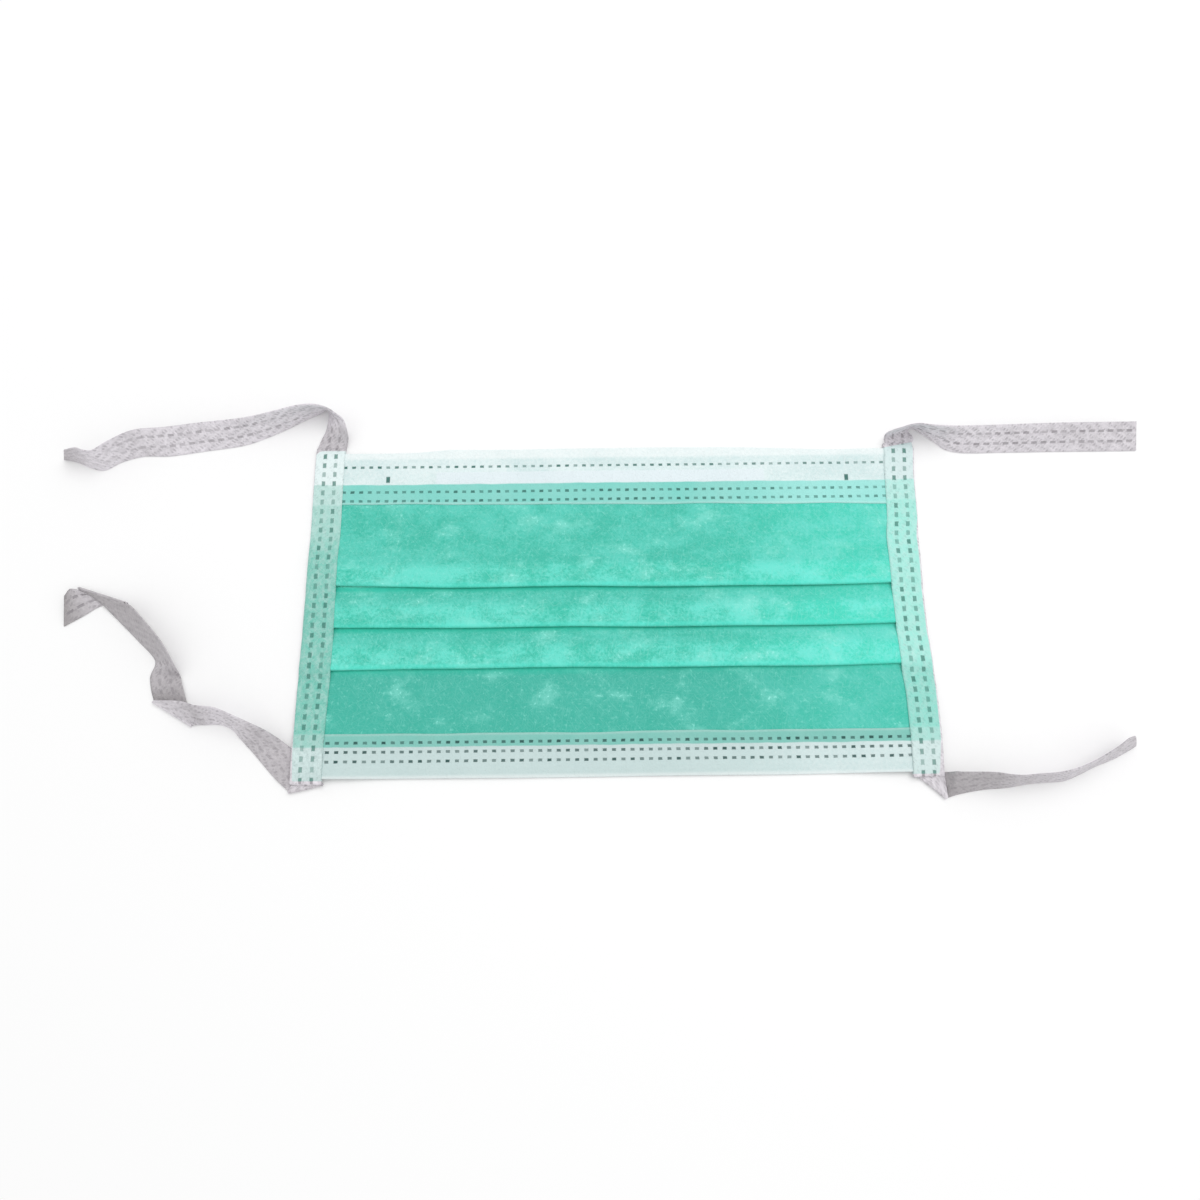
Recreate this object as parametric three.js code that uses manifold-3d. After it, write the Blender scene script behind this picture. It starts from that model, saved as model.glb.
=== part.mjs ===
// A tie-on surgical face mask lying on its back, in millimetres with +Z up.
// +X runs along the mask's width, and +Y runs up the mask towards the nose wire.
// The origin is the middle of the mask on the surface that it lies on.
// Cloth is modelled as walls of one thickness, with a small clearance between neighbouring pieces.
import * as THREE from "three";
import { mergeVertices } from "three/addons/utils/BufferGeometryUtils.js";
import Module from "manifold-3d";

// The cut mask
const MASK_WIDTH = 175;
const MASK_HEIGHT = 95;
const CLOTH = 1.0;
const CLEARANCE = 0.3;

// The knife pleats of the panel, whose fold edges face down
const PLEAT_COUNT = 3;
const PLEAT_PITCH = 11.4;
const PLEAT_DEPTH = 7.6;
const PLEAT_SLIT = 0.2;
const FIRST_FOLD_DROP = 41.6; // from the mask's top edge to the first fold edge
const PLEAT_RISE_RUN = 3.0; // the run in which a strip climbs onto the next pleat

// The hems: how far each flap reaches over the front, and how much of it lies beyond the panel
const TOP_FLAP = 16.9;
const TOP_BARE = 10.5;
const BOTTOM_FLAP = 12.5;
const BOTTOM_BARE = 8.8;

// The nose wire in the top hem
const WIRE_LENGTH = 96;
const WIRE_WIDTH = 4.0;
const WIRE_THICKNESS = 1.0;
const WIRE_TO_PANEL = 0.4; // between the wire and the panel's edge
const WIRE_OFFSET = -4; // it was laid in a little to the left

// The tapes
const TAPE_WIDTH = 8.5;
const TAPE_THICKNESS = 1.0;
const UPPER_CLOSING_RUN = 3.5; // past the hem, the run in which the two legs close into one tie
const LOWER_CLOSING_RUN = 1.2;

const BINDING_ROUND = 0.9; // the rounding of the binding's outer fold, as a share of the tape's thickness
const ENVELOPE_REACH = 3; // the binding's top spans hollows that are narrower than twice this

// How far open the binding still is along its closing run, from bottom to top
const LOWER_CLOSING = [
  { along: 1, open: 0.1 },
  { along: 0.5, open: 0.75 },
];
const UPPER_CLOSING = [
  { along: 0.35, open: 0.7 },
  { along: 0.65, open: 0.25 },
  { along: 1, open: 0 },
];

// How far the panel keeps its height inside the hems and tapes before it sags onto the surface
const SAG_START = 2.5;
const SAG_RUN = 13;

// The two lower corners lie on their own folded ties, and are lifted by them
const LIFTED_REACH = 34;

// How far each tie reaches beyond the mask's side
const UPPER_LEFT_REACH = 75;
const UPPER_RIGHT_REACH = 67.5;
const LOWER_LEFT_REACH = 67.5;
const LOWER_RIGHT_REACH = 53.5;

// One row for each section of a tie. The low edge stands at (out, up), measured from the mask's corner
// in shares of the tie's reach. The section runs from there at the angle facing, seen from above, where
// 0 is towards the mask and 90 is up the mask, and it leans up from the surface by the angle lean.
// span is its length in tape widths, lift counts the layers of tape below it, and side says which
// edge of the tape is the low one. A row with fold doubles the tape back under itself at that line.
const UPPER_LEFT_TIE = [
  { out: 0.0, up: 0.03, facing: 0, lean: 0, span: 1, lift: 0, side: 0 },
  { out: -0.007, up: 0.068, facing: -12, lean: 5, span: 1, lift: 0, side: 0 },
  { out: -0.03, up: 0.107, facing: -17, lean: 31, span: 1, lift: 0, side: 0 },
  { out: -0.033, up: 0.152, facing: -2, lean: 68, span: 1, lift: 0, side: 0 },
  { out: -0.018, up: 0.192, facing: 45, lean: 96, span: 1, lift: 0, side: 0 },
  { out: 0.004, up: 0.193, facing: 98, lean: 101, span: 1, lift: 0, side: 0 },
  { out: 0.039, up: 0.173, facing: 118, lean: 93, span: 1, lift: 0, side: 0 },
  { out: 0.108, up: 0.129, facing: 121, lean: 76, span: 1, lift: 0, side: 0 },
  { out: 0.173, up: 0.088, facing: 116, lean: 64, span: 1, lift: 0, side: 0 },
  { out: 0.248, up: 0.057, facing: 105, lean: 42, span: 1, lift: 0, side: 0 },
  { out: 0.463, up: 0.018, facing: 98, lean: 22, span: 1, lift: 0, side: 0 },
  { out: 0.657, up: 0.011, facing: 97, lean: 7, span: 1, lift: 0, side: 0 },
  { out: 0.763, up: -0.018, facing: 106, lean: 38, span: 1, lift: 0, side: 0 },
  { out: 0.83, up: -0.05, facing: 102, lean: 64, span: 1, lift: 0, side: 0 },
  { out: 0.9, up: -0.036, facing: 78, lean: 80, span: 1, lift: 0, side: 0 },
  { out: 1.0, up: -0.006, facing: 74, lean: 90, span: 1, lift: 0, side: 0 },
];
const UPPER_RIGHT_TIE = [
  { out: 0.003, up: 0.03, facing: 0, lean: 0, span: 1, lift: 0, side: 0 },
  { out: 0.018, up: 0.046, facing: 4, lean: 4, span: 1, lift: 0, side: 0 },
  { out: 0.016, up: 0.071, facing: -8, lean: 32, span: 1, lift: 0, side: 0 },
  { out: 0.007, up: 0.092, facing: -20, lean: 62, span: 1, lift: 0, side: 0 },
  { out: 0.011, up: 0.104, facing: -40, lean: 72, span: 1, lift: 0, side: 0 },
  { out: 0.027, up: 0.103, facing: -64, lean: 76, span: 1, lift: 0, side: 0 },
  { out: 0.053, up: 0.084, facing: 127, lean: 102, span: 1, lift: 0, side: 0 },
  { out: 0.084, up: 0.056, facing: 129, lean: 87, span: 1, lift: 0, side: 0 },
  { out: 0.119, up: 0.031, facing: 126, lean: 75, span: 1, lift: 0, side: 0 },
  { out: 0.154, up: 0.003, facing: 114, lean: 56, span: 1, lift: 0, side: 0 },
  { out: 0.228, up: -0.018, facing: 93, lean: 32, span: 1, lift: 0, side: 0 },
  { out: 0.333, up: -0.018, facing: 90, lean: 12, span: 1, lift: 0, side: 0 },
  { out: 0.6, up: -0.016, facing: 90, lean: 4, span: 1, lift: 0, side: 0 },
  { out: 1.0, up: -0.015, facing: 90, lean: 6, span: 1, lift: 0, side: 0 },
];
const LOWER_RIGHT_TIE = [
  { out: 0.002, up: -0.004, facing: 0, lean: 0, span: 1, lift: 1, side: 0 },
  { out: 0.01, up: -0.108, facing: 34, lean: 0, span: 1.02, lift: 1, side: 0, fold: true },
  { out: 0.04, up: -0.1, facing: 72, lean: 2, span: 1, lift: 0, side: 0 },
  { out: 0.075, up: -0.094, facing: 80, lean: 36, span: 1, lift: 0, side: 0 },
  { out: 0.125, up: -0.084, facing: 82, lean: 54, span: 1, lift: 0, side: 0 },
  { out: 0.2, up: -0.07, facing: 84, lean: 63, span: 1, lift: 0, side: 0 },
  { out: 0.327, up: -0.062, facing: 84, lean: 71, span: 1, lift: 0, side: 0 },
  { out: 0.415, up: -0.052, facing: 84, lean: 75, span: 1, lift: 0, side: 0 },
  { out: 0.585, up: -0.036, facing: 80, lean: 74, span: 1, lift: 0, side: 0 },
  { out: 0.69, up: -0.005, facing: 70, lean: 72, span: 1, lift: 0, side: 0 },
  { out: 0.78, up: 0.034, facing: 65, lean: 70, span: 1, lift: 0, side: 0 },
  { out: 1.0, up: 0.135, facing: 65, lean: 64, span: 1, lift: 0, side: 0 },
];
const LOWER_LEFT_TIE = [
  { out: 0.004, up: -0.008, facing: 0, lean: 0, span: 1, lift: 1, side: 0 },
  { out: 0.024, up: -0.031, facing: 11, lean: 0, span: 1, lift: 1, side: 0, fold: true },
  { out: 0.089, up: 0.033, facing: 40, lean: 2, span: 1, lift: 0, side: 0 },
  { out: 0.151, up: 0.098, facing: 44, lean: 26, span: 1, lift: 0, side: 0 },
  { out: 0.207, up: 0.157, facing: 47, lean: 44, span: 1, lift: 0, side: 0 },
  { out: 0.267, up: 0.216, facing: 62, lean: 64, span: 1, lift: 0, side: 0 },
  { out: 0.341, up: 0.236, facing: 86, lean: 59, span: 1, lift: 0.3, side: 0 },
  { out: 0.43, up: 0.238, facing: 149, lean: 8, span: 1.45, lift: 1, side: 0, fold: true },
  { out: 0.616, up: 0.395, facing: 4, lean: 4, span: 1, lift: 0, side: 1 },
  { out: 0.622, up: 0.455, facing: 2, lean: 12, span: 1, lift: 0, side: 1 },
  { out: 0.61, up: 0.497, facing: 14, lean: 42, span: 1, lift: 0, side: 1 },
  { out: 0.626, up: 0.528, facing: 38, lean: 49, span: 1, lift: 0, side: 1 },
  { out: 0.677, up: 0.575, facing: 45, lean: 47, span: 1, lift: 0, side: 1 },
  { out: 0.733, up: 0.631, facing: 45, lean: 46, span: 1, lift: 0.2, side: 1 },
  { out: 0.796, up: 0.692, facing: 22, lean: 40, span: 1, lift: 0.7, side: 1 },
  { out: 0.96, up: 0.815, facing: -19, lean: 8, span: 1.9, lift: 1, side: 1, fold: true },
  { out: 0.9, up: 0.72, facing: 118, lean: 2, span: 1, lift: 0, side: 0 },
  { out: 0.978, up: 0.668, facing: 120, lean: 8, span: 1, lift: 0, side: 0 },
];

// Values that follow from the sizes above
const HALF_WIDTH = MASK_WIDTH / 2;
const HALF_HEIGHT = MASK_HEIGHT / 2;
const LAYER = CLOTH + CLEARANCE; // from one cloth piece to the next one on it
const PLEAT_STEP = CLOTH + PLEAT_SLIT; // from one layer of a pleat to the next
const PLEAT_STACK = CLOTH + 2 * PLEAT_STEP; // a pleat's three layers
const HEM_GAP = CLOTH + 2 * CLEARANCE; // inside a hem, which takes the panel's edge
const HEM_STACK = HEM_GAP + 2 * CLOTH;
const PANEL_TOP = HALF_HEIGHT - TOP_BARE;
const PANEL_BOTTOM = -HALF_HEIGHT + BOTTOM_BARE;
const TOP_FLAP_EDGE = HALF_HEIGHT - TOP_FLAP;
const BOTTOM_FLAP_EDGE = -HALF_HEIGHT + BOTTOM_FLAP;
const HELD_HALF_WIDTH = HALF_WIDTH - TAPE_THICKNESS - CLEARANCE; // half the cloth inside the tapes
const TAPE_INNER = HALF_WIDTH - TAPE_WIDTH;
const TIE_LAYER = TAPE_THICKNESS + CLEARANCE;

// How finely round stretches are divided
const FOLD_STEPS = 4; // a pleat's half turn
const HEM_FOLD_STEPS = 6; // a hem's half turn
const TURN_STEPS = 4; // a tape's half turn
const SECTIONS_PER_ROW = 3; // between two rows of a tie's table
const SAG_STEPS = 4;
const MIDDLE_STEPS = 3;
const BINDING_STATIONS = 30;
const WIRE_END_SEGMENTS = 8;

// The longest mitre of a bent wall, as a share of its half thickness
const MITRE_LIMIT = 2;

// Points closer together than this are one point
const MERGE_DISTANCE = 1e-4;

const rad = THREE.MathUtils.degToRad;

// 0 at and below from, 1 at and above to, and smooth between
function smooth(value, from, to) {
  return THREE.MathUtils.smoothstep(value, from, to);
}

// How far the cloth under the tapes stands above the surface, at a distance from the mask's middle
function heldByTape(x) {
  return TIE_LAYER * smooth(Math.abs(x), TAPE_INNER - SAG_START - SAG_RUN, TAPE_INNER - SAG_START);
}

// The same for the panel where it enters a hem
function heldByHem(y) {
  const top = smooth(y, TOP_FLAP_EDGE - SAG_START - SAG_RUN, TOP_FLAP_EDGE - SAG_START);
  const bottom = smooth(-y, -BOTTOM_FLAP_EDGE - SAG_START - SAG_RUN, -BOTTOM_FLAP_EDGE - SAG_START);
  return LAYER * Math.max(top, bottom);
}

// How far a lower corner is lifted by the tie folded under it
function cornerLift(x, y) {
  const away = Math.hypot(HALF_WIDTH - Math.abs(x), y + HALF_HEIGHT);
  return TIE_LAYER * (1 - smooth(away, TAPE_WIDTH, LIFTED_REACH));
}

// Geometry from rings of points, all of one length, closed at both ends.
function loft(rings) {
  const count = rings[0].length;
  const positions = [];
  const index = [];
  for (const ring of rings) for (const point of ring) positions.push(point.x, point.y, point.z);
  for (let r = 0; r + 1 < rings.length; r++) {
    for (let i = 0; i < count; i++) {
      const a = r * count + i;
      const b = r * count + ((i + 1) % count);
      index.push(a, b, a + count, b, b + count, a + count);
    }
  }
  return { positions, index, count };
}

// Closes a loft's two ends with the given triangles of one ring, and gives the finished geometry.
function capped(shape, rings, capTriangles) {
  const last = (rings.length - 1) * shape.count;
  for (const [a, b, c] of capTriangles) {
    shape.index.push(a, c, b);
    shape.index.push(last + a, last + b, last + c);
  }
  const geometry = new THREE.BufferGeometry();
  geometry.setAttribute("position", new THREE.Float32BufferAttribute(shape.positions, 3));
  geometry.setIndex(shape.index);
  return facingOut(geometry);
}

// Turns every face round if the closed geometry is inside out.
function facingOut(geometry) {
  const at = geometry.getAttribute("position");
  const index = geometry.getIndex().array;
  const a = new THREE.Vector3();
  const b = new THREE.Vector3();
  const c = new THREE.Vector3();
  let volume = 0;
  for (let i = 0; i < index.length; i += 3) {
    a.fromBufferAttribute(at, index[i]);
    b.fromBufferAttribute(at, index[i + 1]);
    c.fromBufferAttribute(at, index[i + 2]);
    volume += a.dot(b.cross(c));
  }
  if (volume < 0) {
    for (let i = 0; i < index.length; i += 3) {
      [index[i + 1], index[i + 2]] = [index[i + 2], index[i + 1]];
    }
  }
  return geometry;
}

// A wall of cloth along a centre line of (y, z) points: its outline, up one side and back down the other.
function wallOutline(line, thickness) {
  const left = [];
  const right = [];
  line.forEach((point, i) => {
    const before = line[Math.max(i - 1, 0)];
    const after = line[Math.min(i + 1, line.length - 1)];
    const into = point.clone().sub(before).normalize();
    const out = after.clone().sub(point).normalize();
    const along = into.lengthSq() === 0 ? out : out.lengthSq() === 0 ? into : into.clone().add(out).normalize();
    const reach = into.lengthSq() && out.lengthSq() ? Math.min(1 / along.dot(out), MITRE_LIMIT) : 1;
    const normal = new THREE.Vector2(-along.y, along.x).multiplyScalar((thickness / 2) * reach);
    left.push(point.clone().add(normal));
    right.push(point.clone().sub(normal));
  });
  return { outline: [...left, ...right.reverse()], wallCount: line.length };
}

// Sweeps a wall along X through the given stations. place gives a point of it from x and its own (y, z).
function clothAlongX(line, thickness, stations, place) {
  const { outline, wallCount } = wallOutline(line, thickness);
  const rings = stations.map((x) => outline.map((point) => place(x, point.x, point.y)));
  const cap = [];
  const total = outline.length;
  for (let i = 0; i + 1 < wallCount; i++) {
    const a = i;
    const b = i + 1;
    const c = total - 2 - i;
    const d = total - 1 - i;
    cap.push([a, b, c], [a, c, d]);
  }
  return capped(loft(rings), rings, cap);
}

// Points of an arc in the (y, z) plane.
function arc(centreY, centreZ, radius, fromDegrees, toDegrees, steps) {
  const points = [];
  for (let i = 0; i <= steps; i++) {
    const angle = rad(fromDegrees + ((toDegrees - fromDegrees) * i) / steps);
    points.push(new THREE.Vector2(centreY + radius * Math.cos(angle), centreZ + radius * Math.sin(angle)));
  }
  return points;
}

// The stations along X of everything that the two tapes hold, closer together where the cloth sags
function stationsAcross() {
  const sagEnd = TAPE_INNER - SAG_START;
  const sagStart = sagEnd - SAG_RUN;
  const half = [];
  for (let i = 1; i <= MIDDLE_STEPS; i++) half.push((sagStart * i) / MIDDLE_STEPS);
  for (let i = 1; i <= SAG_STEPS; i++) half.push(sagStart + (SAG_RUN * i) / SAG_STEPS);
  half.push(TAPE_INNER, HELD_HALF_WIDTH);
  return [...half.map((x) => -x).reverse(), 0, ...half];
}

// The pleated panel
function foldEdge(number) {
  return HALF_HEIGHT - FIRST_FOLD_DROP - number * PLEAT_PITCH;
}

function panelLine() {
  const low = CLOTH / 2;
  const middle = low + PLEAT_STEP;
  const high = middle + PLEAT_STEP;
  const bend = PLEAT_STEP / 2;
  const line = [new THREE.Vector2(PANEL_TOP, low), new THREE.Vector2(TOP_FLAP_EDGE, low)];
  for (let number = 0; number < PLEAT_COUNT; number++) {
    const edge = foldEdge(number) + CLOTH / 2 + bend;
    const back = foldEdge(number) + PLEAT_DEPTH;
    line.push(new THREE.Vector2(back + PLEAT_RISE_RUN, low));
    line.push(new THREE.Vector2(back, high));
    line.push(...arc(edge, middle + bend, bend, 90, 270, FOLD_STEPS));
    line.push(...arc(back - CLOTH / 2 - bend, low + bend, bend, 90, -90, FOLD_STEPS));
  }
  line.push(new THREE.Vector2(BOTTOM_FLAP_EDGE, low), new THREE.Vector2(PANEL_BOTTOM, low));
  return line;
}

function pleatedPanel() {
  return clothAlongX(panelLine(), CLOTH, stationsAcross(), (x, y, z) => {
    const base = heldByTape(x) + heldByHem(y) + cornerLift(x, y);
    return new THREE.Vector3(x, y, z + base);
  });
}

// The two hems, each a strip folded over the panel's edge
function hem(edge, flapEdge) {
  const inward = Math.sign(flapEdge - edge);
  const bend = (HEM_GAP + CLOTH) / 2;
  const low = CLOTH / 2;
  const centre = edge + inward * (bend + CLOTH / 2);
  const turn = arc(centre, low + bend, bend, inward < 0 ? -90 : 270, 90, HEM_FOLD_STEPS);
  const line = [new THREE.Vector2(flapEdge, low), ...turn, new THREE.Vector2(flapEdge, low + 2 * bend)];
  return clothAlongX(line, CLOTH, stationsAcross(), (x, y, z) => {
    return new THREE.Vector3(x, y, z + heldByTape(x) + cornerLift(x, y));
  });
}

// The nose wire, a flat strip with rounded ends in the top hem
function noseWire() {
  const bottom = PANEL_TOP + WIRE_TO_PANEL;
  const middle = bottom + WIRE_WIDTH / 2;
  const shape = new THREE.Shape();
  const half = WIRE_LENGTH / 2 - WIRE_WIDTH / 2;
  shape.absarc(WIRE_OFFSET + half, middle, WIRE_WIDTH / 2, -Math.PI / 2, Math.PI / 2, false);
  shape.absarc(WIRE_OFFSET - half, middle, WIRE_WIDTH / 2, Math.PI / 2, (3 * Math.PI) / 2, false);
  const geometry = new THREE.ExtrudeGeometry(shape, {
    depth: WIRE_THICKNESS,
    bevelEnabled: false,
    curveSegments: WIRE_END_SEGMENTS,
  });
  const sideGap = (HEM_GAP - WIRE_THICKNESS) / 2;
  geometry.translate(0, 0, CLOTH + sideGap);
  return geometry;
}

// The top of the cloth that a tape's binding holds, above the clearance over its back leg
function heldStack(y) {
  const pleatsTop = foldEdge(0) + PLEAT_DEPTH + PLEAT_RISE_RUN;
  const pleatsBottom = foldEdge(PLEAT_COUNT - 1) - PLEAT_RISE_RUN;
  if (y > TOP_FLAP_EDGE - CLEARANCE || y < BOTTOM_FLAP_EDGE + CLEARANCE) return HEM_STACK;
  if (y < pleatsTop && y > pleatsBottom) return PLEAT_STACK;
  return CLOTH + heldByHem(y);
}

// The same as a smooth envelope, which the tape's front leg follows
function bindingHeight(y) {
  const half = ENVELOPE_REACH / 2;
  const near = [-2, -1, 0, 1, 2].map((step) => heldStack(y + step * half));
  return 2 * TIE_LAYER + Math.max(...near);
}

// The binding: a tape folded lengthwise round the mask's side, open towards the mask
function bindingStations() {
  const stations = [];
  for (let i = 0; i <= BINDING_STATIONS; i++) {
    stations.push(-HALF_HEIGHT + (MASK_HEIGHT * i) / BINDING_STATIONS);
  }
  return stations;
}

function bindingOutside() {
  const inner = TAPE_INNER;
  const outer = HALF_WIDTH;
  const ring = (y, height) => {
    const round = Math.min(height / 2, TAPE_THICKNESS) * BINDING_ROUND;
    const cut = round * (1 - Math.SQRT1_2);
    const base = cornerLift(outer, y);
    const at = (x, z) => new THREE.Vector3(x, y, base + z);
    return [
      at(inner, 0),
      at(outer - round, 0),
      at(outer - cut, cut),
      at(outer, round),
      at(outer, height - round),
      at(outer - cut, height - cut),
      at(outer - round, height),
      at(inner, height),
    ];
  };
  const full = bindingHeight(HALF_HEIGHT);
  const closing = (y, share) => ring(y, TAPE_THICKNESS + (full - TAPE_THICKNESS) * share);
  const rings = [
    ...LOWER_CLOSING.map(({ along, open }) => closing(-HALF_HEIGHT - along * LOWER_CLOSING_RUN, open)),
    ...bindingStations().map((y) => ring(y, bindingHeight(y))),
    ...UPPER_CLOSING.map(({ along, open }) => closing(HALF_HEIGHT + along * UPPER_CLOSING_RUN, open)),
  ];
  const cap = [];
  for (let i = 1; i + 1 < rings[0].length; i++) cap.push([0, i, i + 1]);
  return capped(loft(rings), rings, cap);
}

function bindingPocket() {
  const open = TAPE_INNER - TAPE_WIDTH;
  const end = HALF_WIDTH - TAPE_THICKNESS;
  const ring = (y, height) => {
    const base = cornerLift(HALF_WIDTH, y);
    const low = base + TAPE_THICKNESS;
    const high = base + height - TAPE_THICKNESS;
    return [
      new THREE.Vector3(open, y, low),
      new THREE.Vector3(end, y, low),
      new THREE.Vector3(end, y, high),
      new THREE.Vector3(open, y, high),
    ];
  };
  const inside = bindingStations().slice(1, -1);
  const top = HALF_HEIGHT + CLEARANCE;
  const rings = [-top, ...inside, top].map((y) => ring(y, bindingHeight(y)));
  const cap = [
    [0, 1, 2],
    [0, 2, 3],
  ];
  return capped(loft(rings), rings, cap);
}

// The two edges of a tie at one row of its table, on the right side of the mask
function tieSection(row, reach, fromTop, layer) {
  const lean = rad(row.lean);
  const facing = rad(row.facing);
  const length = row.span * TAPE_WIDTH;
  const corner = fromTop ? HALF_HEIGHT : -HALF_HEIGHT;
  const rest = layer * TIE_LAYER + (TAPE_THICKNESS / 2) * Math.abs(Math.cos(lean));
  const low = new THREE.Vector3(HALF_WIDTH + row.out * reach, corner + row.up * reach, rest);
  const across = new THREE.Vector3(-Math.cos(facing), Math.sin(facing), 0).multiplyScalar(Math.cos(lean));
  const high = low.clone().addScaledVector(across, length);
  high.z += length * Math.sin(lean);
  return row.side === 0 ? { a: low, b: high } : { a: high, b: low };
}

// All sections of a tie in order, with a half turn at each fold and smooth curves between the rows
function tieSections(rows, reach, fromTop) {
  const stretches = [[]];
  const turns = [];
  for (const row of rows) {
    const section = tieSection(row, reach, fromTop, row.lift);
    stretches.at(-1).push(section);
    if (row.fold) {
      const under = tieSection(row, reach, fromTop, row.lift - 1);
      turns.push([section, under]);
      stretches.push([under]);
    }
  }
  const sections = [];
  stretches.forEach((stretch, number) => {
    const curveA = new THREE.CatmullRomCurve3(stretch.map((s) => s.a), false, "centripetal");
    const curveB = new THREE.CatmullRomCurve3(stretch.map((s) => s.b), false, "centripetal");
    const steps = (stretch.length - 1) * SECTIONS_PER_ROW;
    for (let i = 0; i <= steps; i++) {
      sections.push({ a: curveA.getPoint(i / steps), b: curveB.getPoint(i / steps) });
    }
    if (number < turns.length) {
      const before = sections.at(-2);
      sections.push(...halfTurn(turns[number][0], turns[number][1], before));
    }
  });
  return sections;
}

// The sections of a fold between its upper and its lower line, bulging the way the tape came
function halfTurn(upper, under, before) {
  const crease = upper.b.clone().sub(upper.a).setZ(0).normalize();
  const came = upper.a.clone().add(upper.b).sub(before.a).sub(before.b).setZ(0);
  const outward = came.addScaledVector(crease, -came.dot(crease)).normalize();
  const sections = [];
  for (let i = 1; i < TURN_STEPS; i++) {
    const angle = (Math.PI * i) / TURN_STEPS;
    const sink = (1 - Math.cos(angle)) / 2;
    const at = (from, to) => {
      const radius = from.distanceTo(to) / 2;
      return from.clone().lerp(to, sink).addScaledVector(outward, radius * Math.sin(angle));
    };
    sections.push({ a: at(upper.a, under.a), b: at(upper.b, under.b) });
  }
  return sections;
}

// A tie as a closed ribbon, nowhere below the surface
function tie(rows, reach, fromTop) {
  const sections = tieSections(rows, reach, fromTop);
  const middles = sections.map((s) => s.a.clone().add(s.b).multiplyScalar(0.5));
  const rings = sections.map(({ a, b }, i) => {
    const along = middles[Math.min(i + 1, middles.length - 1)].clone().sub(middles[Math.max(i - 1, 0)]);
    const normal = b.clone().sub(a).cross(along).normalize().multiplyScalar(TAPE_THICKNESS / 2);
    const ring = [a.clone().add(normal), b.clone().add(normal), b.clone().sub(normal), a.clone().sub(normal)];
    const lowest = Math.min(...ring.map((point) => point.z));
    if (lowest < 0) ring.forEach((point) => (point.z -= lowest));
    return ring;
  });
  const cap = [
    [0, 1, 2],
    [0, 2, 3],
  ];
  return capped(loft(rings), rings, cap);
}

// Joins and cuts closed geometry
const wasm = await Module();
wasm.setup();

function toSolid(geometry) {
  const bare = geometry.clone();
  bare.deleteAttribute("normal");
  bare.deleteAttribute("uv");
  const merged = mergeVertices(bare, MERGE_DISTANCE);
  return new wasm.Manifold(
    new wasm.Mesh({
      numProp: 3,
      vertProperties: new Float32Array(merged.getAttribute("position").array),
      triVerts: new Uint32Array(merged.getIndex().array),
    }),
  );
}

function toGeometry(solid) {
  const mesh = solid.getMesh();
  const geometry = new THREE.BufferGeometry();
  geometry.setAttribute("position", new THREE.BufferAttribute(mesh.vertProperties, 3));
  geometry.setIndex(new THREE.BufferAttribute(mesh.triVerts, 1));
  geometry.computeVertexNormals();
  return geometry;
}

// One whole tape of the right side: upper tie, binding and lower tie
function tape(upperRows, upperReach, lowerRows, lowerReach) {
  const binding = toSolid(bindingOutside()).subtract(toSolid(bindingPocket()));
  const upper = toSolid(tie(upperRows, upperReach, true));
  const lower = toSolid(tie(lowerRows, lowerReach, false));
  return toGeometry(binding.add(upper).add(lower));
}

// Materials
const nonwoven = (name, color, roughness) => new THREE.MeshStandardMaterial({ name, color, roughness, metalness: 0 });
const green = nonwoven("green_ply", 0x5fd6c2, 0.85);
const white = nonwoven("white_ply", 0xe4f1f0, 0.85);
const tapeGrey = nonwoven("tape", 0xd0cad0, 0.9);
const coatedWire = new THREE.MeshStandardMaterial({ name: "wire", color: 0xf0f4f4, roughness: 0.5, metalness: 0.1 });

function piece(name, geometry, material) {
  const mesh = new THREE.Mesh(geometry, material);
  mesh.name = name;
  return mesh;
}

// The assembly. The left tape is made as a right one and turned over to the left by a mirrored scale.
const mask = new THREE.Group();
mask.name = "surgical_face_mask";
mask.add(piece("pleated_panel", pleatedPanel(), green));
mask.add(piece("top_hem", hem(HALF_HEIGHT, TOP_FLAP_EDGE), white));
mask.add(piece("bottom_hem", hem(-HALF_HEIGHT, BOTTOM_FLAP_EDGE), white));
mask.add(piece("nose_wire", noseWire(), coatedWire));
mask.add(piece("right_tape", tape(UPPER_RIGHT_TIE, UPPER_RIGHT_REACH, LOWER_RIGHT_TIE, LOWER_RIGHT_REACH), tapeGrey));
const leftTape = tape(UPPER_LEFT_TIE, UPPER_LEFT_REACH, LOWER_LEFT_TIE, LOWER_LEFT_REACH);
const leftTapeMesh = piece("left_tape", leftTape, tapeGrey);
leftTapeMesh.scale.x = -1;
mask.add(leftTapeMesh);

export default mask;
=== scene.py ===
"""A pleated tie-on face mask lying flat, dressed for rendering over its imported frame."""

import math
from collections import namedtuple
from types import SimpleNamespace

import bpy
import numpy as np
from mathutils import Matrix, Vector


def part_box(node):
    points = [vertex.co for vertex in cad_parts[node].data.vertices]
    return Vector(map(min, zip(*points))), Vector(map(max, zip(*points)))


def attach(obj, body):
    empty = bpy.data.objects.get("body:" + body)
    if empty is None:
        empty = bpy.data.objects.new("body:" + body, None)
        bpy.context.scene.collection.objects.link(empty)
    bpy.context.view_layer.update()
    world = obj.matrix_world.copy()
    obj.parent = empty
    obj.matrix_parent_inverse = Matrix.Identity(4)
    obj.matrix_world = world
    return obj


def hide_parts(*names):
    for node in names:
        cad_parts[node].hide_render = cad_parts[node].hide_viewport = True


bl_info = {
    "name": "Pleated face mask",
    "version": (1, 0, 0),
    "blender": (4, 5, 0),
    "location": "View3D > Sidebar > Face mask",
    "description": "Builds the plies, nose strip and tie tapes of a pleated face mask",
    "category": "Add Mesh",
}

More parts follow.
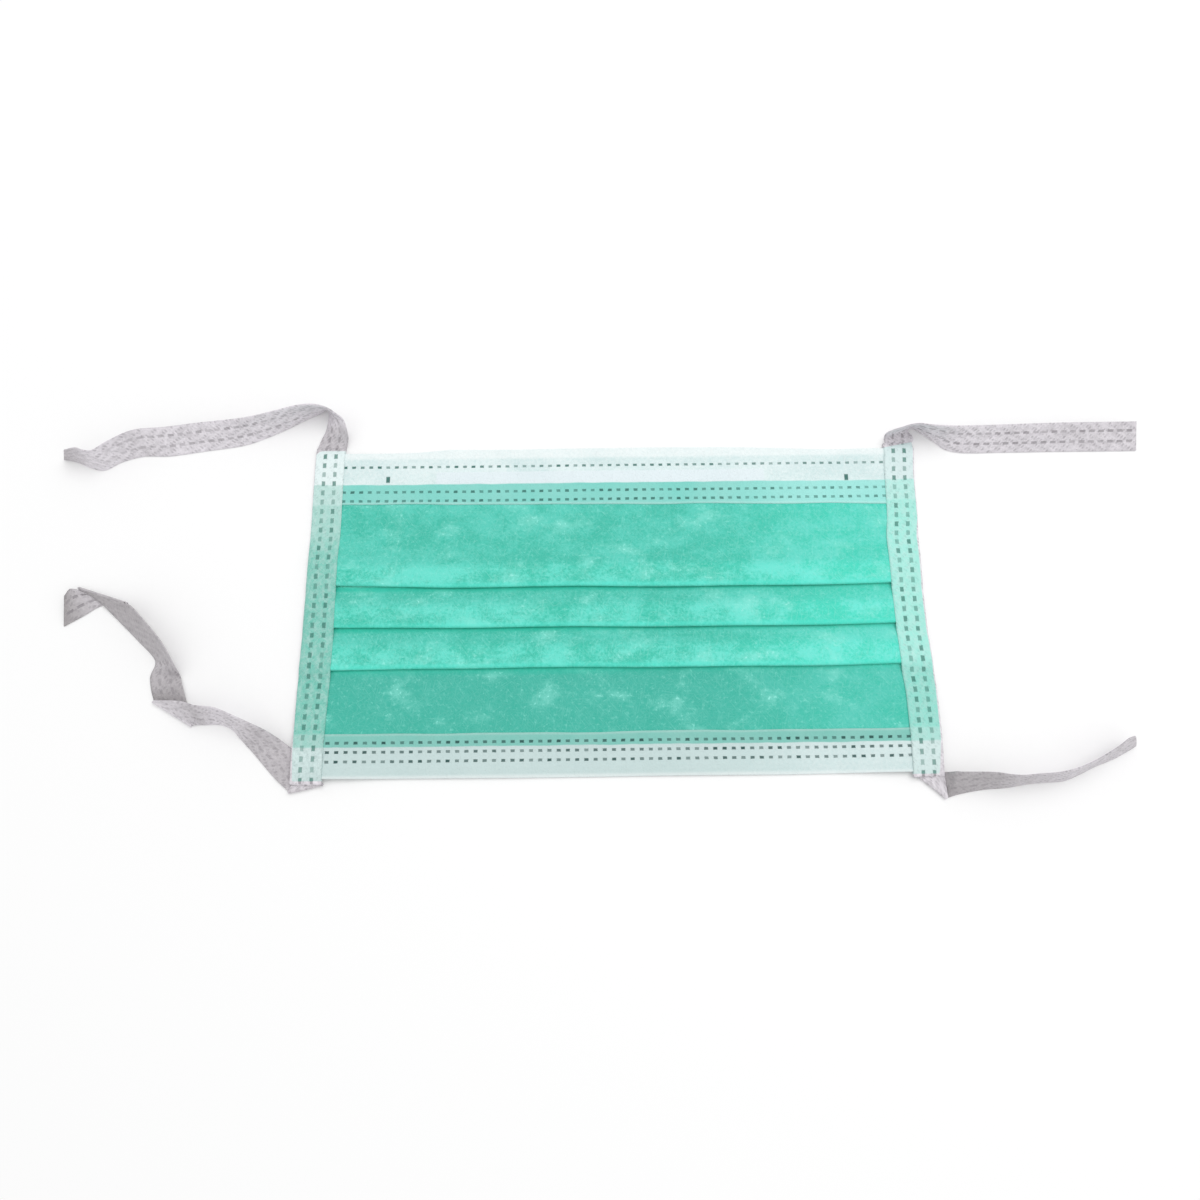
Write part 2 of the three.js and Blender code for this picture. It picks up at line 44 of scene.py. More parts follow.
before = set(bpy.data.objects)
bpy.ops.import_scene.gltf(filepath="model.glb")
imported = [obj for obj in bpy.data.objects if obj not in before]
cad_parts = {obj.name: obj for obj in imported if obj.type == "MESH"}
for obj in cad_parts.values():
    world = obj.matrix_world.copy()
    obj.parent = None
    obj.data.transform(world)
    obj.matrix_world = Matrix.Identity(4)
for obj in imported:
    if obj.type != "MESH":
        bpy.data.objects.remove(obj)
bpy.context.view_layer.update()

BODY = "root"

# Lengths in the tables and formulas below are in millimetres, and the scene is in metres
MM = 0.001

TOP_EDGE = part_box("top_hem")[1].y / MM
BOTTOM_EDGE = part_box("bottom_hem")[0].y / MM
MASK_WIDTH = 175.0

# The folded cloth, measured up the mask from its middle
FOLD_EDGES = (6.25, -5.45, -17.0)
LEFT_FOLD_RISE = 0.05
GREEN_TOP = 37.9
GREEN_BOTTOM = -38.25
TOP_FLAP_EDGE = 31.3
BOTTOM_FLAP_EDGE = -34.65

# How far each ply lies from the middle line between them, and the line's height above the ground
PLY_OFFSET = 0.17
LINE_HEIGHT = 0.30

# From one layer to the next, and how far cloth and tapes rise over what they lie on
LAYER_MIDDLE = 0.70
LAYER_AT_TAPE = 0.62
FLAP_AT_TAPE = 0.69
LIFT_OVER_TAPE = 0.30
TIE_LAYER = 0.90
TIE_GAP = 0.24
TIE_CUP = 0.22

# Beside a tape the cloth rises over it and its layers are pressed flatter, each in its own run
BESIDE_TAPE = 2.5
TAPE_RISE_RUN = 13.0
TABLE_WAVES = 0.30
TABLE_WAVES_RUN = 20.0
PRESSED_RUN = 25.0

# The room left between pieces that lie on each other
TAPE_CLEARANCE = 0.04
TABLE_CLEARANCE = 0.02

# The run in which the cloth climbs onto the next pleat, and the turns at fold edges and hems
CLIMB_BEFORE = 1.0
CLIMB_AFTER = 1.5
FIRST_CLIMB = 9.0
TURN_REACH = 0.55
TURN_ANGLES = np.linspace(0.0, math.pi, 9)[1:-1]
HEM_TURN_RADIUS = 0.22
HEM_PULL = 6.0

# How far folds and edges stray from their straight lines
FOLD_STRAY = 0.22
FLAP_STRAY = 0.16
TAPE_STRAY = 0.06

# The nose strip inside the top hem, with a wire along each edge
STRIP_LEFT = -52.0
STRIP_RIGHT = 44.0
STRIP_LOW = 38.2
STRIP_HIGH = 41.7
STRIP_HEIGHT = 0.46
STRIP_CORNER = 1.0
WIRE_RISE = 0.05
WIRE_ASIDE = 0.55
WIRE_WIDTH = 0.12

# The folded tape and its two lines of weld dashes
TAPE_WIDTH = 8.5
TAPE_DASH_LINES = (2.8, 5.9)
TAPE_HATCH_PITCH = 1.25

# Weld dashes on the hems, by their height up the mask, and the two spot welds
HEM_DASH_LINES = (43.5, 35.65, 32.9, -37.05, -39.55, -42.1)
SPOT_WELDS = ((-66.1, 39.6), (68.1, 38.9))
SPOT_HALF_WIDTH = 0.55
SPOT_HALF_HEIGHT = 0.95

# A weld dash: its length and width, and how much its strength varies
Dash = namedtuple("Dash", "length width worn")
HEM_DASH = Dash(1.1, 0.72, 0.35)
BINDING_DASH = Dash(1.5, 0.95, 0.45)
TIE_DASH = Dash(1.75, 0.70, 0.45)

# The lower corners lie on their own folded ties and are lifted by them
CORNER_NEAR = 8.5
CORNER_FAR = 34.0

# How finely the meshes are made
FLAT_STEP = 1.1
CLIMB_STEP = 0.45
UPPER_STEP = 0.8
INNER_STEP = 1.2
GREEN_COLUMNS = 150
WHITE_COLUMNS = 170
FLAP_ROWS = 34
STRIP_COLUMNS = 97
STRIP_ROWS = 25
BAND_ROWS = 240
CURVE_STEPS = 16
TIE_STEP = 0.6
LEG_POINTS = 13

# A hem: its folded edge and its flap's free edge up the mask, how the free edge slopes, how far the
# folded edge rises at its ends and further in its middle, how far it strays, and its ripple's seed
Hem = namedtuple("Hem", "edge flap_edge slope rise middle_rise stray seed flap")

# The height of a flap's middle line: up the mask, over the nose strip, and beside it
FlapRow = namedtuple("FlapRow", "up over beside")
TOP_FLAP = (
    FlapRow(31.3, 0.64, 0.64),
    FlapRow(32.9, 0.66, 0.66),
    FlapRow(35.6, 0.68, 0.68),
    FlapRow(37.4, 0.78, 0.70),
    FlapRow(38.4, 0.90, 0.62),
    FlapRow(40.0, 0.94, 0.60),
    FlapRow(41.6, 0.88, 0.58),
    FlapRow(43.5, 0.54, 0.52),
    FlapRow(45.4, 0.66, 0.64),
    FlapRow(48.0, 0.58, 0.58),
)
BOTTOM_FLAP = (
    FlapRow(-46.4, 0.58, 0.58),
    FlapRow(-44.4, 0.64, 0.64),
    FlapRow(-42.1, 0.52, 0.52),
    FlapRow(-39.6, 0.58, 0.58),
    FlapRow(-38.2, 0.67, 0.67),
    FlapRow(-37.1, 0.66, 0.66),
    FlapRow(-34.6, 0.64, 0.64),
)
TOP_HEM = Hem(TOP_EDGE, TOP_FLAP_EDGE, -0.008, 0.5, 1.0, 0.12, 31, TOP_FLAP)
BOTTOM_HEM = Hem(BOTTOM_EDGE, BOTTOM_FLAP_EDGE, 0.0, 0.85, 0.0, 0.15, 47, BOTTOM_FLAP)

# Each tape on the mask, from top to bottom: up the mask, then how far its raw edge, its fold edge and the
# edge of the cloth inside it lie from the mask's middle
BandRow = namedtuple("BandRow", "up inner outer cloth")
LEFT_BAND = (
    BandRow(47.5, 79.0, 87.65, 87.5),
    BandRow(0.0, 79.0, 87.7, 87.55),
    BandRow(-13.0, 79.0, 87.9, 87.75),
    BandRow(-22.0, 79.5, 88.3, 88.1),
    BandRow(-40.0, 79.8, 88.35, 87.95),
    BandRow(-47.5, 79.8, 88.2, 87.5),
)
RIGHT_BAND = (
    BandRow(47.5, 79.9, 88.8, 88.4),
    BandRow(40.0, 79.3, 88.0, 87.7),
    BandRow(26.0, 79.0, 87.9, 87.6),
    BandRow(20.0, 78.0, 87.3, 86.7),
    BandRow(0.0, 78.0, 87.0, 86.3),
    BandRow(-9.0, 78.2, 87.2, 86.6),
    BandRow(-18.0, 78.7, 87.75, 87.3),
    BandRow(-24.0, 79.4, 88.0, 87.6),
    BandRow(-38.0, 79.3, 87.95, 87.3),
    BandRow(-47.5, 79.0, 87.4, 86.0),
)

# One row for each section of a tie: out and up from the mask's corner to the section's low edge, in
# shares of the reach; facing, its direction seen from above, where 0 is towards the mask and 90 is up
# the mask; lean, its angle up from the table; span, its length in tape widths; lift, the layers of
# tape below it; side, which edge of the tape is the low one; and fold, where the tape doubles back
TieRow = namedtuple("TieRow", "out up facing lean span lift side fold", defaults=(1.0, 0.0, 0, False))
UPPER_LEFT_ROWS = (
    TieRow(0.000, 0.030, 0, 0),
    TieRow(-0.014, 0.071, -6, 12),
    TieRow(-0.028, 0.107, -14, 28),
    TieRow(-0.035, 0.152, -20, 44),
    TieRow(-0.035, 0.186, -41, 51),
    TieRow(-0.028, 0.203, -57, 62),
    TieRow(-0.001, 0.186, -59, 80),
    TieRow(0.049, 0.161, 120, 87),
    TieRow(0.128, 0.118, 118, 74),
    TieRow(0.206, 0.082, 115, 63),
    TieRow(0.285, 0.053, 104, 50),
    TieRow(0.446, 0.028, 99, 38),
    TieRow(0.582, 0.009, 95, 28),
    TieRow(0.688, 0.008, 97, 50),
    TieRow(0.767, -0.015, 106, 68),
    TieRow(0.832, -0.048, 96, 72),
    TieRow(0.886, -0.036, 60, 74),
    TieRow(0.937, -0.014, 20, 68),
    TieRow(0.996, 0.000, -7, 61),
)
UPPER_RIGHT_ROWS = (
    TieRow(0.013, 0.030, 0, 0),
    TieRow(0.024, 0.052, -8, 0),
    TieRow(0.018, 0.070, -9, 3),
    TieRow(0.008, 0.083, -12, 22),
    TieRow(0.003, 0.091, -20, 40),
    TieRow(0.009, 0.100, -32, 55),
    TieRow(0.020, 0.107, -48, 66),
    TieRow(0.038, 0.101, -57, 73),
    TieRow(0.073, 0.074, -54, 83),
    TieRow(0.116, 0.039, 128, 79),
    TieRow(0.159, 0.003, 115, 58),
    TieRow(0.224, -0.013, 97, 48),
    TieRow(0.407, -0.014, 87, 44),
    TieRow(0.635, -0.013, 88, 36),
    TieRow(0.998, -0.013, 86, 24),
)
LOWER_RIGHT_ROWS = (
    TieRow(0.002, -0.004, 0, 0, lift=1),
    TieRow(0.006, -0.110, 41, 0, span=1.04, lift=1, fold=True),
    TieRow(0.016, -0.108, 76, 3, span=0.80),
    TieRow(0.030, -0.104, 84, 30, span=0.85),
    TieRow(0.045, -0.099, 82, 46),
    TieRow(0.066, -0.093, 79, 50),
    TieRow(0.165, -0.075, 82, 60),
    TieRow(0.218, -0.069, 86, 64),
    TieRow(0.289, -0.065, 85, 70),
    TieRow(0.342, -0.059, 84, 74),
    TieRow(0.432, -0.045, 87, 77),
    TieRow(0.520, -0.039, 90, 77),
    TieRow(0.608, -0.033, 78, 73),
    TieRow(0.692, -0.001, 68, 74),
    TieRow(0.777, 0.037, 70, 73),
    TieRow(0.870, 0.071, 66, 67),
    TieRow(0.940, 0.105, 48, 63),
    TieRow(0.999, 0.137, 25, 60),
)
LOWER_LEFT_ROWS = (
    TieRow(0.004, -0.008, 0, 0, lift=1),
    TieRow(0.019, -0.031, 13, 0, span=1.03, lift=1, fold=True),
    TieRow(0.090, 0.034, 44, 1),
    TieRow(0.175, 0.126, 43, 33),
    TieRow(0.229, 0.181, 44, 52),
    TieRow(0.266, 0.219, 57, 65),
    TieRow(0.312, 0.238, 81, 65),
    TieRow(0.380, 0.239, 90, 61),
    TieRow(0.400, 0.239, 122, 40, lift=0.3),
    TieRow(0.427, 0.237, 149, 0, span=1.54, lift=1, fold=True),
    TieRow(0.609, 0.380, 12, 3, side=1),
    TieRow(0.620, 0.440, -3, 2, side=1),
    TieRow(0.604, 0.490, -9, 32, side=1),
    TieRow(0.610, 0.513, 36, 50, side=1),
    TieRow(0.694, 0.598, 40, 47, side=1),
    TieRow(0.773, 0.674, 30, 44, lift=0.3, side=1),
    TieRow(0.848, 0.745, -6, 28, span=1.05, lift=0.7, side=1),
    TieRow(0.905, 0.786, -15, 16, span=1.48, lift=0.9, side=1),
    TieRow(0.961, 0.815, -19, 8, span=1.94, lift=1, side=1, fold=True),
    TieRow(0.852, 0.745, 149, 5),
    TieRow(0.927, 0.701, 118, 12),
    TieRow(1.004, 0.656, 89, 15),
)

# How each tie looks along its run, in shares from the mask to its free end: its painted shade, how far
# the tape is painted darker where it turns from the light, and dash, how clearly its weld dashes show
TieLook = namedtuple("TieLook", "run tone dash")
UPPER_LEFT_LOOK = (
    TieLook(0.0, 0.45, 0.9),
    TieLook(0.11, 0.40, 0.8),
    TieLook(0.15, 0.0, 0.5),
    TieLook(0.66, 0.0, 0.8),
    TieLook(0.72, 0.18, 0.6),
    TieLook(0.78, 0.0, 0.4),
    TieLook(0.88, 0.0, 0.3),
    TieLook(1.0, 0.50, 0.1),
)
UPPER_RIGHT_LOOK = (
    TieLook(0.0, 0.0, 0.9),
    TieLook(0.7, 0.05, 0.9),
    TieLook(1.0, 0.22, 1.0),
)
LOWER_RIGHT_LOOK = (
    TieLook(0.0, 0.10, 0.3),
    TieLook(0.10, 0.15, 0.3),
    TieLook(0.12, 0.85, 0.7),
    TieLook(0.22, 0.80, 0.7),
    TieLook(0.40, 0.65, 0.6),
    TieLook(0.56, 0.40, 0.1),
    TieLook(0.70, 0.10, 0.05),
    TieLook(1.0, 0.30, 0.05),
)
LOWER_LEFT_LOOK = (
    TieLook(0.0, 0.05, 0.3),
    TieLook(0.08, 0.58, 0.5),
    TieLook(0.16, 0.45, 0.5),
    TieLook(0.22, 0.10, 0.4),
    TieLook(0.29, 0.0, 0.4),
    TieLook(0.34, 0.45, 0.6),
    TieLook(0.43, 0.0, 0.4),
    TieLook(0.455, 1.0, 0.7),
    TieLook(0.48, 0.75, 0.7),
    TieLook(0.51, 0.70, 0.7),
    TieLook(0.57, 0.55, 0.6),
    TieLook(0.63, 0.65, 0.05),
    TieLook(0.82, 0.80, 0.05),
    TieLook(0.86, 0.50, 0.3),
    TieLook(0.88, 0.25, 0.8),
    TieLook(0.92, 0.45, 1.0),
    TieLook(1.0, 1.0, 1.0),
)

# A tie's reach is how far it gets beyond the mask's side
Tie = namedtuple("Tie", "rows reach look")

# A tape: -1 for the mask's left side and 1 for its right; how high up the mask the cloth inside it
# reaches at its raw edge, and how much higher at its fold edge; its stretch on the mask; and its ties
Tape = namedtuple("Tape", "side cloth_top cloth_slope band upper lower")
LEFT_TAPE = Tape(
    side=-1,
    cloth_top=48.8,
    cloth_slope=0.0,
    band=LEFT_BAND,
    upper=Tie(UPPER_LEFT_ROWS, 75.0, UPPER_LEFT_LOOK),
    lower=Tie(LOWER_LEFT_ROWS, 67.5, LOWER_LEFT_LOOK),
)
RIGHT_TAPE = Tape(
    side=1,
    cloth_top=47.9,
    cloth_slope=1.8,
    band=RIGHT_BAND,
    upper=Tie(UPPER_RIGHT_ROWS, 67.5, UPPER_RIGHT_LOOK),
    lower=Tie(LOWER_RIGHT_ROWS, 53.5, LOWER_RIGHT_LOOK),
)

# The camera that the photograph was taken with, fitted to the mask's corners
CAMERA_PLACE = (-5.8, -65.7, 255.8)
CAMERA_AZIMUTH = -1.07
CAMERA_ELEVATION = 75.03
CAMERA_ROLL = 0.38
CAMERA_LENS = 28.0
CAMERA_SENSOR = 36.0

# The studio's light, and how far its table lies below the frame
LAMP_PLACE = (280.0, 380.0, 1050.0)
LAMP_POWER = 4.95
ROOM_LIGHT = 0.80
TABLE_BELOW = 0.03

WHITE = (1.0, 1.0, 1.0)


# How cloth lies


def smooth(value, start, end):
    """0 up to start, 1 from end on, and an easy curve between."""
    share = np.clip((value - start) / (end - start), 0.0, 1.0)
    return share * share * (3.0 - 2.0 * share)


def between(value, start, full, still_full, end):
    """0 up to start, 1 from full to still_full, and 0 again from end on."""
    return smooth(value, start, full) * (1.0 - smooth(value, still_full, end))


def ripple(x, y, seed, length):
    """Slow waves from -1 to 1 of about that length, in directions that the seed chooses."""
    chance = np.random.default_rng(seed)
    total = 0.0
    for _ in range(7):
        turn, phase = chance.uniform(0.0, 2.0 * math.pi, 2)
        wave = length * chance.uniform(0.6, 1.6)
        run = x * math.cos(turn) + y * math.sin(turn)
        total = total + np.sin(2.0 * math.pi * run / wave + phase)
    return np.clip(total / 3.2, -1.0, 1.0)


def corner_lift(x, y):
    """How far a lower corner is lifted by the tie that is folded under it."""
    away = np.hypot(MASK_WIDTH / 2 - np.abs(x), y - BOTTOM_EDGE)
    return TIE_LAYER * (1.0 - smooth(away, CORNER_NEAR, CORNER_FAR))


def ground(x, y):
    """How far the cloth's underside stands above the table."""
    inner = MASK_WIDTH / 2 - TAPE_WIDTH - BESIDE_TAPE
    over_tape = LIFT_OVER_TAPE * smooth(np.abs(x), inner - TAPE_RISE_RUN, inner)
    free = 1.0 - smooth(np.abs(x), inner - TABLE_WAVES_RUN, inner)
    waves = TABLE_WAVES * free * (1.0 + ripple(x, y, seed=11, length=42.0)) / 2
    return over_tape + corner_lift(x, y) + waves


def layer_step(x):
    """From one layer of a pleat to the next, pressed flatter under the tapes."""
    inner = MASK_WIDTH / 2 - TAPE_WIDTH - 1.0
    pressed = smooth(np.abs(x), inner - PRESSED_RUN, inner)
    return LAYER_MIDDLE + (LAYER_AT_TAPE - LAYER_MIDDLE) * pressed


def stepped(start, end, step):
    """Places from start to end, about a step apart."""
    count = max(2, int(round(abs(end - start) / step)) + 1)
    return np.linspace(start, end, count)


def half_turn(place, level, outward):
    """The rows of a fold from one level to the level below, bulging up or down the mask."""
    rows = []
    for angle in TURN_ANGLES:
        bulge = outward * TURN_REACH * math.sin(angle)
        rows.append((place + bulge, level - (1.0 - math.cos(angle)) / 2))
    return rows


def pleat_rows(sizes, top, bottom):
    """The pleated cloth from top to bottom as (height up the mask, level).

    Level 0 lies on the table, and level 2 is on top of a pleat.
    """
    rows = []
    place = top
    ply_reach = PLY_OFFSET + sizes.green_thickness / 2
    for number, edge in enumerate(FOLD_EDGES):
        back = edge + sizes.pleat_depth
        climb_top = FOLD_EDGES[number - 1] + CLIMB_BEFORE if number else back + FIRST_CLIMB
        climb_end = back - CLIMB_AFTER
        turn = edge + ply_reach + TURN_REACH
        back_turn = back - ply_reach - TURN_REACH
        rows += [(y, 0.0) for y in stepped(place, climb_top, FLAT_STEP)[:-1]]
        for y in stepped(climb_top, climb_end, CLIMB_STEP)[:-1]:
            rows.append((y, 2.0 * float(smooth(-y, -climb_top, -climb_end))))
        rows += [(y, 2.0) for y in stepped(climb_end, turn, UPPER_STEP)]
        rows += half_turn(turn, 2.0, -1.0)
        rows += [(y, 1.0) for y in stepped(turn, back_turn, INNER_STEP)]
        rows += half_turn(back_turn, 1.0, 1.0)
        place = back_turn
    rows += [(y, 0.0) for y in stepped(place, bottom, FLAT_STEP)]
    return np.array(rows)


def fold_wander(x, y):
    """How far the folds wander up or down the mask from their straight lines."""
    free = between(y, -33.0, -20.0, 16.0, 28.0)
    wander = FOLD_STRAY * ripple(x, 0.0, seed=5, length=60.0) * free
    rise = LEFT_FOLD_RISE * np.clip(y - FOLD_EDGES[-1], 0.0, 24.0) * (1.0 - smooth(y, 18.0, 30.0))
    return wander + rise * smooth(-x, 45.0, 85.0)


def pleated_grid(rows, columns):
    """The middle line of the pleated cloth as a grid of points, and its unit normals."""
    x = np.broadcast_to(columns, (len(rows), len(columns)))
    y = rows[:, :1] + fold_wander(x, rows[:, :1])
    z = LINE_HEIGHT + layer_step(x) * rows[:, 1:] + ground(x, y)
    grid = np.stack([x, y, z], axis=-1)
    return grid, normals(grid)


def normals(grid):
    """Unit normals of a grid of points whose rows run down and whose columns run right."""
    down = np.gradient(grid, axis=0)
    across = np.gradient(grid, axis=1)
    out = np.cross(down, across)
    return out / np.maximum(np.linalg.norm(out, axis=-1, keepdims=True), 1e-9)


def run_along(grid):
    """How far each point of a grid lies along its column."""
    steps = np.linalg.norm(np.diff(grid, axis=0), axis=-1)
    return np.concatenate([np.zeros((1, *steps.shape[1:])), np.cumsum(steps, axis=0)])


# Meshes


def sheet_mesh(name, grid, thickness, marks):
    """A closed sheet of one thickness about a grid of points in millimetres.

    marks are named values, one for each point of the grid, which the materials read.
    """
    rows, columns = grid.shape[:2]
    offset = normals(grid) * thickness / 2
    points = np.concatenate([(grid + offset).reshape(-1, 3), (grid - offset).reshape(-1, 3)]) * MM
    index = np.arange(rows * columns).reshape(rows, columns)
    a, b, c, d = index[:-1, :-1], index[1:, :-1], index[1:, 1:], index[:-1, 1:]
    front = np.stack([a, b, c, d], axis=-1).reshape(-1, 4)
    back = np.stack([a, d, c, b], axis=-1).reshape(-1, 4) + rows * columns
    faces = [front, back]
    for rim in (index[0], index[-1, ::-1], index[::-1, 0], index[:, -1]):
        under = rim + rows * columns
        faces.append(np.stack([rim[:-1], rim[1:], under[1:], under[:-1]], axis=-1))
    faces = np.concatenate(faces)
    mesh = bpy.data.meshes.new(name)
    mesh.vertices.add(len(points))
    mesh.vertices.foreach_set("co", points.astype(np.float32).ravel())
    mesh.loops.add(faces.size)
    mesh.loops.foreach_set("vertex_index", faces.astype(np.int32).ravel())
    mesh.polygons.add(len(faces))
    mesh.polygons.foreach_set("loop_start", np.arange(0, faces.size, 4, dtype=np.int32))
    mesh.polygons.foreach_set("use_smooth", np.arange(len(faces)) < len(front) + len(back))
    mesh.update(calc_edges=True)
    mesh.validate()
    for mark, values in marks.items():
        both = np.tile(np.broadcast_to(values, (rows, columns)).ravel(), 2).astype(np.float32)
        mesh.attributes.new(mark, "FLOAT", "POINT").data.foreach_set("value", both)
    piece = bpy.data.objects.new(name, mesh)
    bpy.context.scene.collection.objects.link(piece)
    return piece


def fit_piece(piece, finish, slot, *nodes):
    """Gives a piece its material, ties it to the frame and lets it stand for its nodes."""
    piece.data.materials.append(finish.material)
    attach(piece, BODY)
    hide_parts(*nodes)


# Materials


class Shade:
    """A socket of a material. Python's operators add its Math nodes."""

    def __init__(self, finish, socket):
        self.finish = finish
        self.socket = socket

    def math(self, operation, *others):
        """A Math node of this value and the others."""
        values = dict(enumerate((self, *others)))
        return self.finish.node("ShaderNodeMath", {"operation": operation}, values)

    def __add__(self, other):
        return self.math("ADD", other)

    def __sub__(self, other):
        return self.math("SUBTRACT", other)

    def __rsub__(self, other):
        return self.finish.node("ShaderNodeMath", {"operation": "SUBTRACT"}, {0: other, 1: self})

    def __mul__(self, other):
        return self.math("MULTIPLY", other)

    def __truediv__(self, other):
        return self.math("DIVIDE", other)

    def __abs__(self):
        return self.math("ABSOLUTE")

    __radd__ = __add__
    __rmul__ = __mul__

    def larger(self, other):
        return self.math("MAXIMUM", other)

    def sine_of(self, pitch):
        """A wave that is 0 at every pitch."""
        return (self * (math.pi / pitch)).math("SINE")

    def step(self, start, end):
        """0 up to start, 1 from end on, and an easy curve between."""
        settings = {"interpolation_type": "SMOOTHSTEP"}
        places = {"From Min": start, "From Max": end, "To Min": 0.0, "To Max": 1.0}
        if start > end:
            places = {"From Min": end, "From Max": start, "To Min": 1.0, "To Max": 0.0}
        return self.finish.node("ShaderNodeMapRange", settings, {"Value": self, **places})


class Finish:
    """A material on one Principled shader, and the nodes that feed it."""

    def __init__(self, name, **constants):
        self.material = bpy.data.materials.new(name)
        self.material.use_nodes = True
        self.tree = self.material.node_tree
        self.shader = self.tree.nodes["Principled BSDF"]
        for socket, value in constants.items():
            self.shader.inputs[socket.replace("_", " ")].default_value = value

    def node(self, kind, settings, inputs, output=0):
        """A node with its settings made first and its sockets filled with values or links."""
        made = self.tree.nodes.new(kind)
        for setting, value in settings.items():
            setattr(made, setting, value)
        for socket, value in inputs.items():
            if isinstance(value, Shade):
                self.tree.links.new(value.socket, made.inputs[socket])
            else:
                made.inputs[socket].default_value = value
        return Shade(self, made.outputs[output])

    def mark(self, name):
        """A value that the mesh carries."""
        return self.node("ShaderNodeAttribute", {"attribute_name": name}, {}, output="Fac")

    def place(self, x, y, z=0.0):
        """A vector from three values."""
        return self.node("ShaderNodeCombineXYZ", {}, {0: x, 1: y, 2: z})

    def noise(self, x, y, grain, detail=2.0, roughness=0.5, layer=0.0):
        """Noise from 0 to 1 with grains of about that size in millimetres."""
        where = self.place(x / grain, y / grain, layer)
        inputs = {"Vector": where, "Scale": 1.0, "Detail": detail, "Roughness": roughness}
        return self.node("ShaderNodeTexNoise", {}, inputs)

    def chance(self, x, y):
        """A chance value from 0 to 1 for each whole number pair."""
        return self.node("ShaderNodeTexWhiteNoise", {"noise_dimensions": "2D"}, {"Vector": self.place(x, y)})

    def blend(self, share, first, second):
        """A colour between two colours, each a Shade or three numbers."""
        settings = {"data_type": "RGBA", "clamp_factor": True}
        first, second = (each if isinstance(each, Shade) else (*each, 1.0) for each in (first, second))
        return self.node("ShaderNodeMix", settings, {"Factor": share, 6: first, 7: second}, output=2)

    def colour(self, shade):
        self.tree.links.new(shade.socket, self.shader.inputs["Base Color"])

    def relief(self, height, distance=0.12):
        """Fine relief of that height in millimetres."""
        bump = self.node("ShaderNodeBump", {}, {"Height": height, "Distance": distance * MM})
        self.tree.links.new(bump.socket, self.shader.inputs["Normal"])


def cloth_finish(name, sheen=0.1):
    """A material for matt nonwoven cloth, without its colour."""
    return Finish(name, Roughness=0.85, Specular_IOR_Level=0.25, Sheen_Weight=sheen, Sheen_Roughness=0.5)


def fibres(finish, x, y, length, width):
    """Fine fibres in four directions, from 0 to 1."""
    total = None
    for number, angle in enumerate((8, 52, 101, 147)):
        c, s = math.cos(math.radians(angle)), math.sin(math.radians(angle))
        along = (x * c + y * s) / length
        across = (y * c - x * s) / width
        strand = finish.noise(along, across, 1.0, 3.0, 0.6, layer=7.3 * number)
        total = strand if total is None else total.larger(strand)
    return total.step(0.48, 0.82)


def bond_points(finish, x, y, pitch):
    """The fine staggered points at which the fibres are pressed together, some of them faint."""
    worn = finish.noise(x, y, pitch * 1.1, 1.0, layer=13.0).step(0.40, 0.62)
    return abs(x.sine_of(pitch) * y.sine_of(pitch)).step(0.45, 0.9) * worn


def dashes(finish, along, across, lines, pitch, dash):
    """Weld dashes in lines: how strongly each place is pressed, from 0 to 1."""
    number = (along / pitch).math("FLOOR")
    offset = abs(along - (number + 0.5) * pitch) / (dash.length / 2)
    rough = (finish.noise(along, across, 0.7) - 0.5) * 0.5
    total = None
    for line, place in enumerate(lines):
        aside = abs(across - place) / (dash.width / 2)
        inside = (offset.larger(aside) + rough).step(1.2, 0.75)
        strength = finish.chance(number, 17.0 * line + 3.0) * dash.worn + (1.0 - dash.worn)
        total = inside * strength if total is None else total.larger(inside * strength)
    return total


def green_finish(colours):
    """Green nonwoven cloth, mottled and matt."""
    finish = cloth_finish("green_nonwoven", sheen=0.12)
    x, y = finish.mark("at_x"), finish.mark("cloth_y")
    single = finish.mark("single")
    # Painted light: the green ply is lighter towards the right, and its fold shadow and single-ply darkening
    # are fainter there
    right = x.step(15.0, 68.0)
    broad = finish.noise(x / 1.5, y, 16.0)
    patches = finish.noise(x / 1.3, y, 5.0, 4.0, 0.6, layer=4.0)
    fine = finish.noise(x, y, 0.9, 3.0, 0.6, layer=9.0)
    strands = fibres(finish, x, y, 3.4, 0.30)
    cover = (broad * 0.32 + patches * 0.38 + fine * 0.30).step(0.41, 0.59)
    dark = finish.blend(right, colours.green_dark, colours.green_dark_right)
    light = finish.blend(right, colours.green_light, colours.green_light_right)
    base = finish.blend(cover, dark, light)
    base = finish.blend(single * (0.92 - right * 0.3), base, colours.green_thin)
    cloud = finish.noise(x / 1.4, y, 8.0, 4.0, 0.62, layer=17.0).step(0.5, 0.74)
    specks = finish.noise(x, y, 1.0, layer=21.0).step(0.56, 0.72)
    pale = cloud * 0.40 + strands * (0.42 - single * 0.12) + specks * (0.20 + cloud * 0.45)
    base = finish.blend(pale, base, colours.green_fibre)
    # Painted highlight along the top of each fold edge
    base = finish.blend(finish.mark("fold_highlight") * 0.45, base, colours.green_lip)
    # Painted shadow just below the pleats' fold edges, fainter towards the right
    base = finish.blend(finish.mark("crease") * (0.75 - right * 0.25), base, colours.green_crease)
    finish.colour(base)
    points = bond_points(finish, x, y, 1.2)
    finish.relief(strands * 0.5 + fine * 0.5 + patches * 0.8 - points * 0.35)
    return finish


def hem_welds(finish, sizes, x, y):
    """The weld dashes on both hems and the two spot welds beside the nose strip."""
    pressed = dashes(finish, x, y, HEM_DASH_LINES, sizes.hem_dash_pitch, HEM_DASH)
    # Painted light: the dashes are fainter on the upper right, where the cloth is painted lighter
    pressed = pressed * (1.0 - x.step(15.0, 65.0) * y.step(-10.0, 10.0) * 0.18)
    for spot_x, spot_y in SPOT_WELDS:
        away = (abs(x - spot_x) / SPOT_HALF_WIDTH).larger(abs(y - spot_y) / SPOT_HALF_HEIGHT)
        pressed = pressed.larger(away.step(1.2, 0.75))
    return pressed


